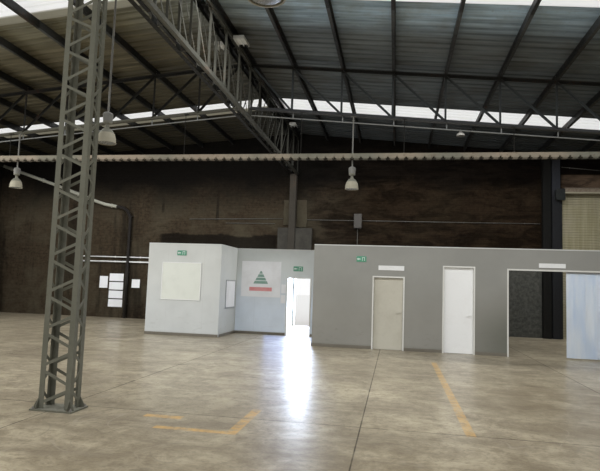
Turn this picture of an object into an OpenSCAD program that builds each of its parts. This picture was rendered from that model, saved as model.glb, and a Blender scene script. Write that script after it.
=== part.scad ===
// Steel framed factory hall: whole bays of a low gable hall with brick walls,
// lattice roof steel, corrugated roof sheets and a row of partition rooms at the back.
// X runs across the hall, Y towards the back wall, Z up, millimetres.
// The origin is the middle of the slab's underside. Heights are above the floor.

/* [Hall] */
// Length of one bay, from frame to frame
bay_len = 8000; // [6000:50:9600]
// Clear distance from the ridge line to the inner face of a side wall
half_span = 14000; // [11600:50:17000]
// Height of the underside of the roof sheets at the ridge
ridge_h = 8200; // [7400:50:9900]
// Fall of the roof for each unit of run
roof_fall = 0.09; // [0.05:0.01:0.11]
// Thickness of the brick walls
wall_t = 300; // [200:10:400]
// Thickness of the concrete floor slab
slab_t = 150; // [100:10:300]

/* [Roof steel] */
// Wanted distance between purlins along the roof
purlin_step = 1400; // [1000:50:1700]
// Depth of a purlin
purlin_d = 200; // [140:10:250]
// Flange width of a purlin
purlin_b = 75; // [50:5:90]
// Plate thickness of a purlin
purlin_t = 5; // [3:1:8]
// Height of a rafter lattice between its chord centres
rafter_d = 1240; // [900:20:1700]
// Leg of the angles that form a rafter chord
chord_leg = 80; // [60:5:110]
// Thickness of the chord angles
chord_t = 8; // [6:1:12]
// Leg of the lattice struts and diagonals
strut_leg = 55; // [40:5:80]
// Thickness of the lattice struts and diagonals
strut_t = 6; // [5:1:10]
// Height of the ridge girder between its chord centres
girder_d = 1500; // [1200:20:2000]
// Width of the ridge girder, outside to outside
girder_w = 330; // [260:10:460]
// Leg of the ridge girder's chord angles
girder_leg = 95; // [70:5:120]
// Wanted length of one girder panel
girder_panel = 1150; // [800:50:1400]
// Length of the gusset plates on the ridge girder's chords
gusset_len = 260; // [180:10:340]
// How far the gusset plates rise from the chords
gusset_h = 170; // [120:10:240]

/* [Columns] */
// Width of a lattice column across the hall, outside to outside
column_w = 450; // [360:10:560]
// Depth of a lattice column along the hall, outside to outside
column_b = 250; // [200:10:330]
// Leg of a lattice column's corner angles
column_leg = 75; // [60:5:100]
// Wanted rise of the lacing from node to node on one corner
lacing_step = 500; // [360:20:600]
// Distance between two lacing bars where they meet a corner angle
lacing_gap = 70; // [45:5:100]
// Width of a lacing bar
lacing_b = 38; // [25:1:50]
// Thickness of a lacing bar
lacing_t = 6; // [5:1:8]
// How far a lattice column's base plate stands out past it
base_out = 75; // [40:5:120]
// Height of the ribs on a lattice column's base plate
base_rib = 140; // [90:10:220]
// How far the side columns' base plates stand out past them
foot_out = 30; // [20:5:50]
// Thickness of base and cap plates
plate_t = 20; // [12:1:30]
// Depth of the side columns, across the hall
side_col_d = 200; // [160:10:300]
// Flange width of the side columns
side_col_b = 180; // [140:10:260]
// Web thickness of the rolled columns
web_t = 10; // [7:1:14]
// Flange thickness of the rolled columns
flange_t = 15; // [10:1:20]
// Width of the steel pier that carries the girder at the back wall
pier_w = 270; // [200:10:330]
// Depth of the steel pier, out from the back wall
pier_d = 250; // [180:10:330]
// Height of the top of the masonry blocks beside the pier
corbel_top = 4100; // [3500:50:4800]
// Height of the blocks
corbel_h = 950; // [600:50:1200]
// Width of both blocks together, across the pier
corbel_w = 1450; // [900:50:1800]
// How far the blocks stand out from the back wall
corbel_d = 200; // [120:10:240]
// Distance from the ridge line to the middle of both blocks
corbel_x = 130; // [0:10:200]

/* [Roof cover] */
// Wanted distance from rib to rib
rib_step = 285; // [200:5:330]
// Height of a rib
rib_h = 30; // [20:5:50]
// Thickness of the roof sheets, thicker than real ones
sheet_t = 5; // [3:1:8]
// Width of a translucent strip
light_w = 1150; // [800:50:1600]
// Distance from the sheets' underside at the eaves down to a gutter's top
gutter_drop = 45; // [30:5:80]
// How far the sheets pass the end walls
verge_over = 100; // [50:10:200]
// How far the sheets pass the side walls
eaves_over = 90; // [60:10:140]
// Width and depth of a gutter
gutter_w = 150; // [120:5:200]
// Wall thickness of the gutters
gutter_t = 5; // [3:1:8]
// Outside radius of a downpipe
pipe_r = 50; // [30:5:75]
// Reach of the ridge cap down each slope
cap_wing = 260; // [180:10:350]

/* [Back wall openings] */
// Left edge of the exit doorway
exit_x0 = 150; // [100:10:200]
// Width of the exit doorway
exit_w = 1350; // [900:50:1700]
// Height of the exit doorway
exit_h = 2200; // [2050:50:2600]
// Width of the roller shutter's opening
shutter_w = 2800; // [2400:50:3200]
// Height of the roller shutter's opening
shutter_h = 5600; // [3000:50:5700]
// Brick left between the shutter and the side wall
shutter_side = 500; // [350:50:900]
// Width of a shutter guide seen from the front
guide_w = 100; // [80:10:140]
// Depth of a shutter guide, out from the wall
guide_d = 90; // [70:5:120]
// Height of the hood over the shutter
hood_h = 230; // [220:10:420]
// Depth of the hood, out from the wall
hood_d = 380; // [300:10:450]
// Width of the box at an end of the shutter's barrel
gear_w = 340; // [240:10:400]
// Height of one shutter slat
slat_h = 100; // [75:5:120]
// Width of the steel posts beside the shutter
post_w = 300; // [200:10:330]
// Depth of the steel posts, out from the wall
post_d = 200; // [150:10:260]
// Gap between the two posts
post_gap = 40; // [20:5:200]

/* [Partition rooms] */
// Height of the partitions
part_h = 2930; // [2700:10:3400]
// Thickness of the partitions
part_t = 80; // [60:5:120]
// Distance from the back wall to the face of the right room
room_d = 6970; // [6000:10:7900]
// Distance from the back wall to the face of the left room
store_d = 6050; // [5000:10:6900]
// Distance from the back wall to the recessed wall
recess_d = 4240; // [3200:10:4900]
// Place of the right room's left corner
room_x0 = 2000; // [1700:50:2300]
// Place of the corridor's left wall
corridor_x = 20; // [-100:10:60]
// Left and right corners of the left room
store_x = [-3560, -1110];
// Left edge of the recessed doorway
way_x0 = 670; // [500:10:700]
// Width of the recessed doorway
way_w = 860; // [700:10:900]
// Height of the recessed doorway
way_h = 1980; // [1950:10:2250]
// Height of the pale door's opening
door_h = 2060; // [1950:10:2250]
// Left edge of the pale door's opening
pale_x0 = 3700; // [3300:50:4000]
// Width of the pale door's opening
pale_w = 900; // [750:10:1100]
// Left edge of the tall door's opening
tall_x0 = 5640; // [5300:20:5900]
// Width of the tall door's opening
tall_w = 870; // [750:10:1040]
// Height of the tall door's opening
tall_h = 2400; // [2200:10:2450]
// Left edge of the wide opening
wide_x0 = 7350; // [7200:50:7500]
// Width of the wide opening
wide_w = 3000; // [2000:50:3600]
// Height of the wide opening
wide_h = 2370; // [2200:10:2450]
// Height of the rooms' ceiling
ceiling_h = 2700; // [2600:10:2850]
// Thickness of the rooms' ceiling
ceiling_t = 40; // [20:5:60]
// Width of a door frame seen from the front
frame_b = 40; // [30:5:60]
// Thickness of a door leaf
leaf_t = 40; // [30:2:50]
// Gap between a door leaf and its frame
leaf_gap = 6; // [5:1:10]
// How far the frames stand out from the partition on both sides
frame_out = 10; // [5:1:20]
// Width of one plastic strip of the curtain
strip_w = 300; // [200:10:400]
// Distance from strip to strip, so that they overlap
strip_step = 240; // [160:10:300]

/* [Door hardware] */
// Radius of a hinge knuckle
hinge_r = 8; // [7:0.5:10]
// Radius of a hinge pin
pin_r = 5; // [4:0.5:6]
// Length of one hinge knuckle, a hinge has three
knuckle = 35; // [25:1:45]
// Distance from the frame's rear face to the pin's axis
hinge_off = 12; // [11:1:16]
// Thickness of a hinge plate
hinge_t = 6; // [4:1:8]
// Length of a hinge plate from the joint line
hinge_plate = 28; // [20:1:36]
// Height of the door handles
handle_h = 1050; // [900:10:1150]
// Length of a lever handle
lever_len = 120; // [90:5:140]
// Radius of a lever handle's bar
lever_r = 9; // [7:0.5:11]
// How far a lever handle stands out from the leaf
lever_out = 55; // [45:1:65]
// Radius of the round plate behind a handle
rose_r = 26; // [20:1:30]

/* [Fittings] */
// Gap between the services rail and the lowest end of the rafters
rail_gap = 110; // [6:1:200]
// Height of the services rail's section
rail_d = 170; // [120:10:200]
// Width of the services rail's section
rail_b = 100; // [60:5:140]
// Distance from the rafter's middle to the middle of the rail
rail_off = 110; // [100:5:140]
// Plate thickness of the services rail
rail_t = 6; // [4:1:8]
// Wanted distance from slot to slot along the services rail
slot_step = 240; // [160:10:400]
// Width and height of a slot in the services rail
slot_size = [45, 60];
// Mouth radius of a high bay lamp
lamp_r = 180; // [150:5:220]
// Height of a high bay lamp's mouth above the floor
lamp_h = 4370; // [4000:10:4700]
// Distance from one row of lamps to the next, the first row hangs from the last rafter
lamp_step = 5040; // [4200:20:5400]
// Places of the lamps in the first, third and fifth row, as shares of the half span
odd_row = [-0.506, 0.223];
// Places of the lamps in the second and fourth row
even_row = [-0.092, 0.64];
// Radius of a lamp's hanger tube
tube_r = 20; // [14:1:24]
// Radius of the services rail's hanger rods
rod_r = 9; // [6:1:14]
// Outside radius of the lighting conduits
conduit_r = 17; // [12:1:25]
// Distance from the rafters down to the conduits
conduit_drop = 160; // [80:5:220]
// Distance from the rafter's middle to a conduit, towards the back wall
conduit_off = 60; // [50:5:70]

/* [Hidden] */

steel = [0.27, 0.29, 0.27];
dark_steel = [0.16, 0.15, 0.14];
brick = [0.30, 0.19, 0.15];
grey_wall = [0.55, 0.57, 0.57];
pale = [0.82, 0.81, 0.76];
concrete = [0.58, 0.55, 0.50];
roof_grey = [0.45, 0.46, 0.46];
pipe_grey = [0.42, 0.43, 0.43];
render_brown = [0.33, 0.27, 0.22];

bay_count = 4;   // ridge columns stand at every second frame, the last girder end on the back wall
fuse = 1;        // how far welded bars run into each other
seat = 0.3;      // gap where sloping or round pieces meet their seat
pin_fit = 0.05;  // gap round a hinge pin
past = 10;       // how far a cut runs past what it cuts
roof_a = atan(roof_fall);
purlin_stack = (purlin_d + 2 * seat) / cos(roof_a);    // from the sheets' underside down to the rafters
back_y = bay_len * bay_count / 2;      // inner face of the back wall
end_y = back_y + wall_t;               // outer face of the back wall, and the slab's front edge
side_x = half_span + wall_t;           // outer face of a side wall
purlin_count = round(half_span / purlin_step);
purlin_pitch = half_span / purlin_count;
chord_c = chord_leg / 2;
girder_half = girder_w / 2;
girder_c = girder_leg / 2;
panels_bay = round(bay_len / girder_panel);
panel_len = bay_len / panels_bay;
top_chord_h = ridge_h - purlin_stack - chord_c;   // middle of the rafters' top chords at the ridge
low_chord_h = top_chord_h - rafter_d;             // middle of the rafters' bottom chords at the ridge
girder_top_h = roof_z(girder_half) - purlin_stack - girder_c;
girder_low_h = girder_top_h - girder_d;
column_h = girder_low_h - girder_c;               // underside of the ridge girder
column_face = half_span - side_col_d;             // inner face of the side columns
shutter_x1 = half_span - shutter_side;
shutter_x0 = shutter_x1 - shutter_w;
exit_x1 = exit_x0 + exit_w;
room_y = back_y - room_d;
store_y = back_y - store_d;
recess_y = back_y - recess_d;

function roof_z(x) = ridge_h - roof_fall * abs(x);
function wall_top(x) = roof_z(x) - seat;
function top_face(x) = top_chord_h + chord_c - roof_fall * abs(x);
function low_face(x) = low_chord_h - chord_c - roof_fall * abs(x);
function frame_y(i) = -back_y + i * bay_len;

module on_floor() { translate([0, 0, slab_t]) children(); }
module both_sides() { children(); mirror([1, 0, 0]) children(); }

// Turns and moves a shape so that its X runs down the right roof slope from the ridge,
// and its Z stands on the underside of the sheets
module on_slope() { translate([0, 0, ridge_h]) rotate([0, roof_a, 0]) children(); }

// An upright panel in the XZ plane, from y to y + t
module upright(y, t, points) {
    translate([0, y + t, 0]) rotate([90, 0, 0]) linear_extrude(height = t) polygon(points);
}

module angle_profile(leg, t) {
    polygon([[0, 0], [leg, 0], [leg, t], [t, t], [t, leg], [0, leg]]);
}

// Two angles back to back, flange up, with the flange's top at 0
module tee_profile(leg, t) {
    polygon([[-leg, 0], [-leg, -t], [-t, -t], [-t, -leg], [t, -leg], [t, -t], [leg, -t], [leg, 0]]);
}

// Extrudes a profile from point p to point q, both [x, z] in the plane y = 0.
// The profile's X becomes the hall's Y, and its Y lies in the plane, to the bar's left
module bar_xz(p, q) {
    d = q - p;
    translate([p[0], 0, p[1]])
        rotate([0, 90 - atan2(d[1], d[0]), 0])
            rotate([0, 0, 90])
                linear_extrude(height = norm(d)) children();
}

// The same in the plane x = 0, between points [y, z]
module bar_yz(p, q) { rotate([0, 0, 90]) bar_xz(p, q) children(); }

module floor_slab() {
    color(concrete) translate([-side_x, -end_y, 0]) cube([2 * side_x, 2 * end_y, slab_t]);
}

function gable_piece(x0, x1, z0) = concat(
    [[x0, z0], [x1, z0], [x1, wall_top(x1)]],
    x0 < 0 && x1 > 0 ? [[0, wall_top(0)]] : [],
    [[x0, wall_top(x0)]]);

module back_wall_piece(x0, x1, z0) {
    color(brick) on_floor() upright(back_y, wall_t, gable_piece(x0, x1, z0));
}
module back_wall_left() { back_wall_piece(-side_x, exit_x0, 0); }
module back_wall_middle() { back_wall_piece(exit_x1, shutter_x0, 0); }
module back_wall_right() { back_wall_piece(shutter_x1, side_x, 0); }
module back_wall_lintels() {
    back_wall_piece(exit_x0, exit_x1, exit_h);
    back_wall_piece(shutter_x0, shutter_x1, shutter_h);
}

module side_wall() {
    color(brick) on_floor() upright(-end_y, end_y + back_y,
        [[half_span, 0], [side_x, 0], [side_x, wall_top(side_x)], [half_span, wall_top(half_span)]]);
}
module side_wall_left() { mirror([1, 0, 0]) side_wall(); }
module side_wall_right() { side_wall(); }

// Rolled section of depth d along X and flange width b
module i_profile(d, b) {
    for (s = [0, 1]) translate([s * (d - flange_t), -b / 2]) square([flange_t, b]);
    translate([flange_t / 2, -web_t / 2]) square([d - flange_t, web_t]);
}

// Seat of the rafters' top chords on the side columns
function chord_seat(x) = top_face(x) - chord_leg / cos(roof_a) - seat;

module side_columns() {
    x0 = column_face - past;
    x1 = half_span + past;
    foot_b = side_col_b + 2 * foot_out;
    color(dark_steel) on_floor() for (i = [0 : bay_count - 1]) translate([0, frame_y(i), 0]) union() {
        difference() {
            translate([column_face, 0, 0]) linear_extrude(height = chord_seat(column_face))
                i_profile(side_col_d, side_col_b);
            upright(-side_col_b, 2 * side_col_b,
                [[x0, chord_seat(x0)], [x1, chord_seat(x1)], [x1, ridge_h], [x0, ridge_h]]);
        }
        translate([column_face - foot_out, -foot_b / 2, 0]) cube([side_col_d + foot_out, foot_b, plate_t]);
    }
}
module side_columns_left() { mirror([1, 0, 0]) side_columns(); }
module side_columns_right() { side_columns(); }

// Zigzag of flat lacing bars up one face of a lattice column, w wide from angle to angle
module lacing(h0, h1, w) {
    n = 2 * round((h1 - h0) / lacing_step);
    rise = (h1 - h0) / n;
    for (i = [0 : n - 1]) {
        side = i % 2 == 0 ? -w / 2 : w / 2;
        bar_xz([side, h0 + i * rise + lacing_gap / 2], [-side, h0 + (i + 1) * rise - lacing_gap / 2])
            translate([0, -lacing_b / 2]) square([lacing_t, lacing_b]);
    }
}

// Ribs that stand on the base plate and stiffen one corner angle, outwards along X and Y
module corner_ribs() {
    reach = 0.8 * base_out;
    points = [[fuse, 0], [-reach, 0], [-reach, base_rib / 4], [fuse, base_rib]];
    upright(0, chord_t, points);
    rotate([0, 0, 90]) upright(-chord_t, chord_t, points);
}

module lattice_column() {
    h0 = plate_t;
    h1 = column_h - plate_t;
    corner = [-column_w / 2, -column_b / 2, 0];
    base = [base_out, base_out, 0];
    cap = [column_w, column_b, plate_t];
    color(steel) on_floor() union() {
        translate(corner - base) cube(cap + 2 * base);
        for (s = [0, 1], t = [0, 1]) mirror([s, 0, 0]) mirror([0, t, 0])
            translate(corner + [0, 0, h0 - fuse]) {
                linear_extrude(height = h1 - h0 + 2 * fuse) angle_profile(column_leg, chord_t);
                corner_ribs();
            }
        for (s = [0, 1]) {
            mirror([0, s, 0]) translate([0, fuse - column_b / 2, 0])
                lacing(h0 + lacing_b, h1 - lacing_b, column_w - column_leg);
            mirror([s, 0, 0]) rotate([0, 0, -90]) translate([0, fuse - column_w / 2, 0])
                lacing(h0 + lacing_b, h1 - lacing_b, column_b - column_leg);
        }
        translate(corner + [0, 0, h1]) cube(cap);
    }
}
module ridge_column_front() { translate([0, frame_y(0), 0]) lattice_column(); }
module ridge_column_middle() { translate([0, frame_y(bay_count / 2), 0]) lattice_column(); }

module ridge_pier_back() {
    color(steel) on_floor() translate([0, back_y - pier_d, 0])
        linear_extrude(height = column_h) rotate(90) i_profile(pier_d, pier_w);
}
// One block on each side of the pier, against its flanges
module pier_corbel() {
    left = corbel_x - corbel_w / 2;
    color(render_brown) on_floor() for (r = [[left, -pier_w / 2], [pier_w / 2, left + corbel_w]])
        translate([r[0], back_y - corbel_d, corbel_top - corbel_h])
            cube([r[1] - r[0], corbel_d, corbel_h]);
}

// One side truss of the ridge girder, in the plane x = 0, over n panels from y0.
// Diagonals rise towards the column at the nearer end, gussets stand on the chords' inner legs
module girder_side(y0, n) {
    seat_z = chord_t - 2 * fuse - girder_c;
    gusset = [[-gusset_len / 2, seat_z], [gusset_len / 2, seat_z],
              [gusset_len / 3, gusset_h + seat_z], [-gusset_len / 3, gusset_h + seat_z]];
    for (k = [0 : n], t = [0, 1])
        translate([-fuse, y0 + k * panel_len, t ? girder_top_h : girder_low_h]) mirror([0, 0, t])
            rotate([90, 0, 90]) linear_extrude(height = strut_t + 4 * fuse) polygon(gusset);
    for (k = [0 : n])
        translate([0, y0 + k * panel_len - (k == n ? strut_leg : 0), girder_low_h])
            linear_extrude(height = girder_d) angle_profile(strut_leg, strut_t);
    for (k = [0 : n - 1]) {
        up = k < n / 2;
        bar_yz([y0 + (up ? k + 1 : k) * panel_len, girder_low_h],
            [y0 + (up ? k : k + 1) * panel_len, girder_top_h])
            translate([-fuse - strut_t, -strut_leg / 2]) square([strut_t, strut_leg]);
    }
}

// Angle in the XZ plane with its corner at c, one leg inwards and one towards dir, 1 up or -1 down
function chord_points(c, dir) = [
    for (p = [[0, 0], [girder_leg, 0], [girder_leg, chord_t], [chord_t, chord_t],
              [chord_t, girder_leg], [0, girder_leg]])
        [c[0] - p[0], c[1] + dir * p[1]]];

// Four chords, two side trusses and battens across them, from frame i0 to i1, cut square at both ends
module ridge_girder(i0, i1) {
    y0 = frame_y(i0);
    len = bay_len * (i1 - i0);
    n = panels_bay * (i1 - i0);
    inner = girder_half - chord_t;
    low = girder_low_h - girder_c;
    high = girder_top_h + girder_c;
    color(steel) on_floor() intersection() {
        union() {
            both_sides() {
                upright(y0, len, chord_points([girder_half, low], 1));
                upright(y0, len, chord_points([girder_half, high], -1));
                translate([inner - strut_leg + fuse, 0, 0]) girder_side(y0, n);
            }
            for (k = [0 : n]) for (z = [low + fuse, high - chord_t + fuse])
                translate([-inner, y0 + k * (len - lacing_b) / n, z]) cube([2 * inner, lacing_b, lacing_t]);
        }
        translate([-girder_half, y0, low]) cube([girder_w, len, high - low]);
    }
}
module ridge_girder_front() { ridge_girder(0, bay_count / 2); }
module ridge_girder_back() { ridge_girder(bay_count / 2, bay_count); }

// Half of a rafter lattice. Its chords are cut upright at the girder, the column and the side wall
module rafter_half() {
    x0 = girder_half;
    x1 = half_span;
    cut_h = low_face(x1) + chord_leg + chord_c;
    function top_z(x) = top_chord_h - roof_fall * x;
    function low_z(x) = low_chord_h - roof_fall * x;
    intersection() {
        union() {
            bar_xz([0, top_face(0)], [side_x, top_face(side_x)]) tee_profile(chord_leg, chord_t);
            bar_xz([0, low_face(0)], [side_x, low_face(side_x)])
                mirror([0, 1]) tee_profile(chord_leg, chord_t);
        }
        upright(-chord_leg - past, 2 * (chord_leg + past), [[x0, 0], [column_face, 0],
            [column_face, cut_h], [x1, cut_h], [x1, ridge_h], [x0, ridge_h]]);
    }
    for (k = [1 : purlin_count - 1]) {
        x = k * purlin_pitch;
        bar_xz([x, low_z(x)], [x, top_z(x)])
            translate([chord_t - fuse, -strut_t / 2]) angle_profile(strut_leg, strut_t);
    }
    for (k = [0 : purlin_count - 1]) {
        xa = max(k * purlin_pitch, x0 + strut_leg);
        xb = min((k + 1) * purlin_pitch, column_face - strut_leg);
        bar_xz([xb, low_z(xb)], [xa, top_z(xa)])
            translate([fuse - chord_t, -strut_t / 2]) mirror([1, 0]) angle_profile(strut_leg, strut_t);
    }
}
module rafters_frame(i) {
    color(dark_steel) on_floor() translate([0, frame_y(i), 0]) both_sides() union() { rafter_half(); }
}
module rafters_frame_1() { rafters_frame(0); }
module rafters_frame_2() { rafters_frame(1); }
module rafters_frame_3() { rafters_frame(2); }
module rafters_frame_4() { rafters_frame(3); }

// Lipped channel with its web towards the ridge and its top flange under the sheets
module purlin_profile() {
    lip = 20;
    polygon([[0, 0], [purlin_b, 0], [purlin_b, -lip], [purlin_b - purlin_t, -lip],
        [purlin_b - purlin_t, -purlin_t], [purlin_t, -purlin_t], [purlin_t, purlin_t - purlin_d],
        [purlin_b - purlin_t, purlin_t - purlin_d], [purlin_b - purlin_t, lip - purlin_d],
        [purlin_b, lip - purlin_d], [purlin_b, -purlin_d], [0, -purlin_d]]);
}

module purlins() {
    run = 1 / cos(roof_a);
    places = concat([girder_half - purlin_b / 2],
        [for (k = [1 : purlin_count - 1]) k * purlin_pitch - purlin_b / 2],
        [half_span - purlin_b * 1.5]);
    color(dark_steel) on_floor() on_slope() for (x = places)
        translate([x * run, back_y, -seat]) rotate([90, 0, 0])
            linear_extrude(height = back_y + end_y) purlin_profile();
}
module purlins_left() { mirror([1, 0, 0]) purlins(); }
module purlins_right() { purlins(); }

// Ribbed sheet section of n ribs over length len, on z = 0
function rib_line(len, n, up) = [for (k = [0 : n - 1], p = [[0, 0], [0.66, 0], [0.76, 1], [0.9, 1]])
    [(k + p[0]) * len / n, p[1] * rib_h + up]];
module ribbed_sheet(y0, len, slope_len) {
    n = round(len / rib_step);
    low = concat(rib_line(len, n, 0), [[len, 0]]);
    high = concat(rib_line(len, n, sheet_t), [[len, sheet_t]]);
    translate([0, y0, 0]) rotate([90, 0, 90]) linear_extrude(height = slope_len)
        polygon(concat(low, [for (i = [4 * n : -1 : 0]) high[i]]));
}

strip_mids = [for (i = [0 : bay_count - 1]) frame_y(i) + bay_len / 2];
slope_len = (side_x + eaves_over) / cos(roof_a);
verge_y = end_y + verge_over;

module roof_sheets() {
    starts = concat([-verge_y], [for (m = strip_mids) m + light_w / 2]);
    ends = concat([for (m = strip_mids) m - light_w / 2], [verge_y]);
    color(roof_grey) on_floor() on_slope() for (i = [0 : bay_count])
        ribbed_sheet(starts[i], ends[i] - starts[i], slope_len);
}
module roof_sheets_left() { mirror([1, 0, 0]) roof_sheets(); }
module roof_sheets_right() { roof_sheets(); }

module rooflights() {
    color([0.90, 0.93, 0.92]) on_floor() on_slope() for (m = strip_mids)
        ribbed_sheet(m - light_w / 2, light_w, slope_len);
}
module rooflights_left() { mirror([1, 0, 0]) rooflights(); }
module rooflights_right() { rooflights(); }

// Bent capping that lies on the ribs on both sides of the ridge
module ridge_cap() {
    z0 = ridge_h + (rib_h + sheet_t + seat) / cos(roof_a);
    z1 = z0 - cap_wing * roof_fall;
    color(roof_grey) on_floor() upright(-verge_y, 2 * verge_y, [[-cap_wing, z1], [0, z0], [cap_wing, z1],
        [cap_wing, z1 + sheet_t], [0, z0 + sheet_t], [-cap_wing, z1 + sheet_t]]);
}

gutter_top = roof_z(side_x) - gutter_drop;
gutter_lip = 20;                       // the front edge is lower than the back
pipe_x = side_x + gutter_w / 2;
pipe_ys = [for (s = [-1, 1]) s * (back_y - bay_len / 2)];
bracket_t = 30;

module gutters() {
    x1 = side_x + gutter_w;
    low = gutter_top - gutter_w;
    outside = [[side_x, gutter_top], [side_x, low], [x1, low], [x1, gutter_top - gutter_lip]];
    inside = [[x1 - gutter_t, gutter_top - gutter_lip], [x1 - gutter_t, low + gutter_t],
              [side_x + gutter_t, low + gutter_t], [side_x + gutter_t, gutter_top]];
    color(pipe_grey) on_floor() both_sides() union() {
        upright(-verge_y, 2 * verge_y, concat(outside, inside));
        for (y = [-verge_y, verge_y - gutter_t]) upright(y, gutter_t, outside);
    }
}

module outer_downpipes() {
    top = gutter_top - gutter_w;
    color(pipe_grey) both_sides() for (y = pipe_ys) translate([pipe_x, y, 0]) union() {
        cylinder(h = slab_t + top, r = pipe_r, $fn = 32);
        for (f = [0.2, 0.5, 0.8]) translate([side_x - pipe_x, -bracket_t / 2, f * top])
            cube([pipe_x - side_x, bracket_t, bracket_t]);
    }
}

// A partition panel parallel to the back wall
module cross_panel(x0, x1, y, z0, z1) {
    color(grey_wall) on_floor() translate([x0, y, z0]) cube([x1 - x0, part_t, z1 - z0]);
}
module room_front() {
    cross_panel(room_x0, pale_x0, room_y, 0, part_h);
    cross_panel(pale_x0 + pale_w, tall_x0, room_y, 0, part_h);
    cross_panel(tall_x0 + tall_w, wide_x0, room_y, 0, part_h);
    cross_panel(wide_x0 + wide_w, half_span, room_y, 0, part_h);
}
module store_front() { cross_panel(store_x[0], store_x[1], store_y, 0, part_h); }
module recess_wall() {
    cross_panel(store_x[1], way_x0, recess_y, 0, part_h);
    cross_panel(way_x0 + way_w, room_x0, recess_y, 0, part_h);
}
module partition_lintels() {
    cross_panel(way_x0, way_x0 + way_w, recess_y, way_h, part_h);
    cross_panel(pale_x0, pale_x0 + pale_w, room_y, door_h, part_h);
    cross_panel(tall_x0, tall_x0 + tall_w, room_y, tall_h, part_h);
    cross_panel(wide_x0, wide_x0 + wide_w, room_y, wide_h, part_h);
}

// Partitions that run back to the brick wall, the corridor's to the pier. The last one closes the
// right room beside the wide opening, behind which the way to the roller shutter is open to the roof
room_x1 = wide_x0 - part_t;
module partition_returns() {
    color(grey_wall) on_floor()
        for (w = [[store_x[0], store_y, 0], [store_x[1] - part_t, store_y, 0],
                  [corridor_x, recess_y, pier_d], [room_x0, room_y, 0], [room_x1, room_y, 0]])
            translate([w[0], w[1] + part_t, 0]) cube([part_t, back_y - w[1] - part_t - w[2], part_h]);
}

module room_ceilings() {
    rooms = [[store_x[0] + part_t, store_x[1] - part_t, store_y],
             [store_x[1], corridor_x, recess_y],
             [corridor_x + part_t, room_x0, recess_y],
             [room_x0 + part_t, room_x1, room_y]];
    color([0.75, 0.75, 0.73]) on_floor() difference() {
        for (r = rooms) translate([r[0], r[2] + part_t, ceiling_h])
            cube([r[1] - r[0], back_y - r[2] - part_t, ceiling_t]);
        translate([-pier_w / 2, back_y - pier_d, 0]) cube([pier_w, pier_d + past, part_h]);
    }
}

// Both jambs of a door frame in an opening of width w, lining the partition
frame_t = part_t + 2 * frame_out;
module jamb_pair(x0, w, h, y) {
    for (x = [x0, x0 + w - frame_b]) translate([x, y - frame_out, 0]) cube([frame_b, frame_t, h]);
}
module frame_head(x0, w, h, y) {
    translate([x0 + frame_b, y - frame_out, h - frame_b]) cube([w - 2 * frame_b, frame_t, frame_b]);
}

// Hinges stand behind the partition, at the left jamb. Three knuckles, the middle one on the leaf
hinge_shares = [0.12, 0.5, 0.88];
rear_y = room_y + part_t + frame_out;      // rear face of the frames and of the shut leaves
knuckle_fit = 2;                           // gap above and below the leaf's knuckle
lug_b = 4;                                 // width of the lug between a hinge plate and its knuckle
function hinge_x(x0) = x0 + frame_b + leaf_gap / 2;

module on_hinges(x0, h) {
    for (f = hinge_shares) translate([hinge_x(x0), rear_y + hinge_off, f * h]) children();
}

module frame_hinge() {
    reach = leaf_gap / 2 + hinge_plate;
    part_h = knuckle - 2 * knuckle_fit;
    cylinder(h = 3 * knuckle, r = pin_r, center = true, $fn = 24);
    for (s = [-1, 1]) translate([0, 0, s * knuckle - part_h / 2]) {
        cylinder(h = part_h, r = hinge_r, $fn = 24);
        translate([-reach, -hinge_off, 0]) cube([hinge_plate, hinge_t, part_h]);
        translate([-reach + hinge_plate - lug_b, -hinge_off, 0]) cube([lug_b, hinge_off, part_h]);
    }
}

module leaf_hinge() {
    difference() {
        translate([0, 0, -knuckle / 2]) {
            cylinder(h = knuckle, r = hinge_r, $fn = 24);
            translate([leaf_gap / 2, -hinge_off - fuse, 0]) cube([hinge_plate, hinge_t + fuse, knuckle]);
            translate([leaf_gap / 2 - 1, -hinge_off - fuse, 0]) cube([lug_b, hinge_off + fuse, knuckle]);
        }
        cylinder(h = 2 * knuckle, r = pin_r + pin_fit, center = true, $fn = 24);
    }
}

module door_jambs() {
    color(pale) on_floor() {
        jamb_pair(way_x0, way_w, way_h, recess_y);
        jamb_pair(wide_x0, wide_w, wide_h, room_y);
        for (d = [[pale_x0, pale_w, door_h], [tall_x0, tall_w, tall_h]]) union() {
            jamb_pair(d[0], d[1], d[2], room_y);
            on_hinges(d[0], d[2]) frame_hinge();
        }
    }
}
module door_heads() {
    color(pale) on_floor() {
        frame_head(way_x0, way_w, way_h, recess_y);
        frame_head(wide_x0, wide_w, wide_h, room_y);
        frame_head(pale_x0, pale_w, door_h, room_y);
        frame_head(tall_x0, tall_w, tall_h, room_y);
    }
}

// Round plate, neck and lever of a handle on one face of a leaf
module lever(side) {
    rose_t = 10;
    scale([1, side, 1]) {
        rotate([-90, 0, 0]) cylinder(h = rose_t, r = rose_r, $fn = 32);
        rotate([-90, 0, 0]) cylinder(h = lever_out, r = lever_r, $fn = 24);
        translate([0, lever_out - lever_r, 0]) rotate([0, -90, 0])
            cylinder(h = lever_len, r = lever_r, $fn = 24);
    }
}

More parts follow.
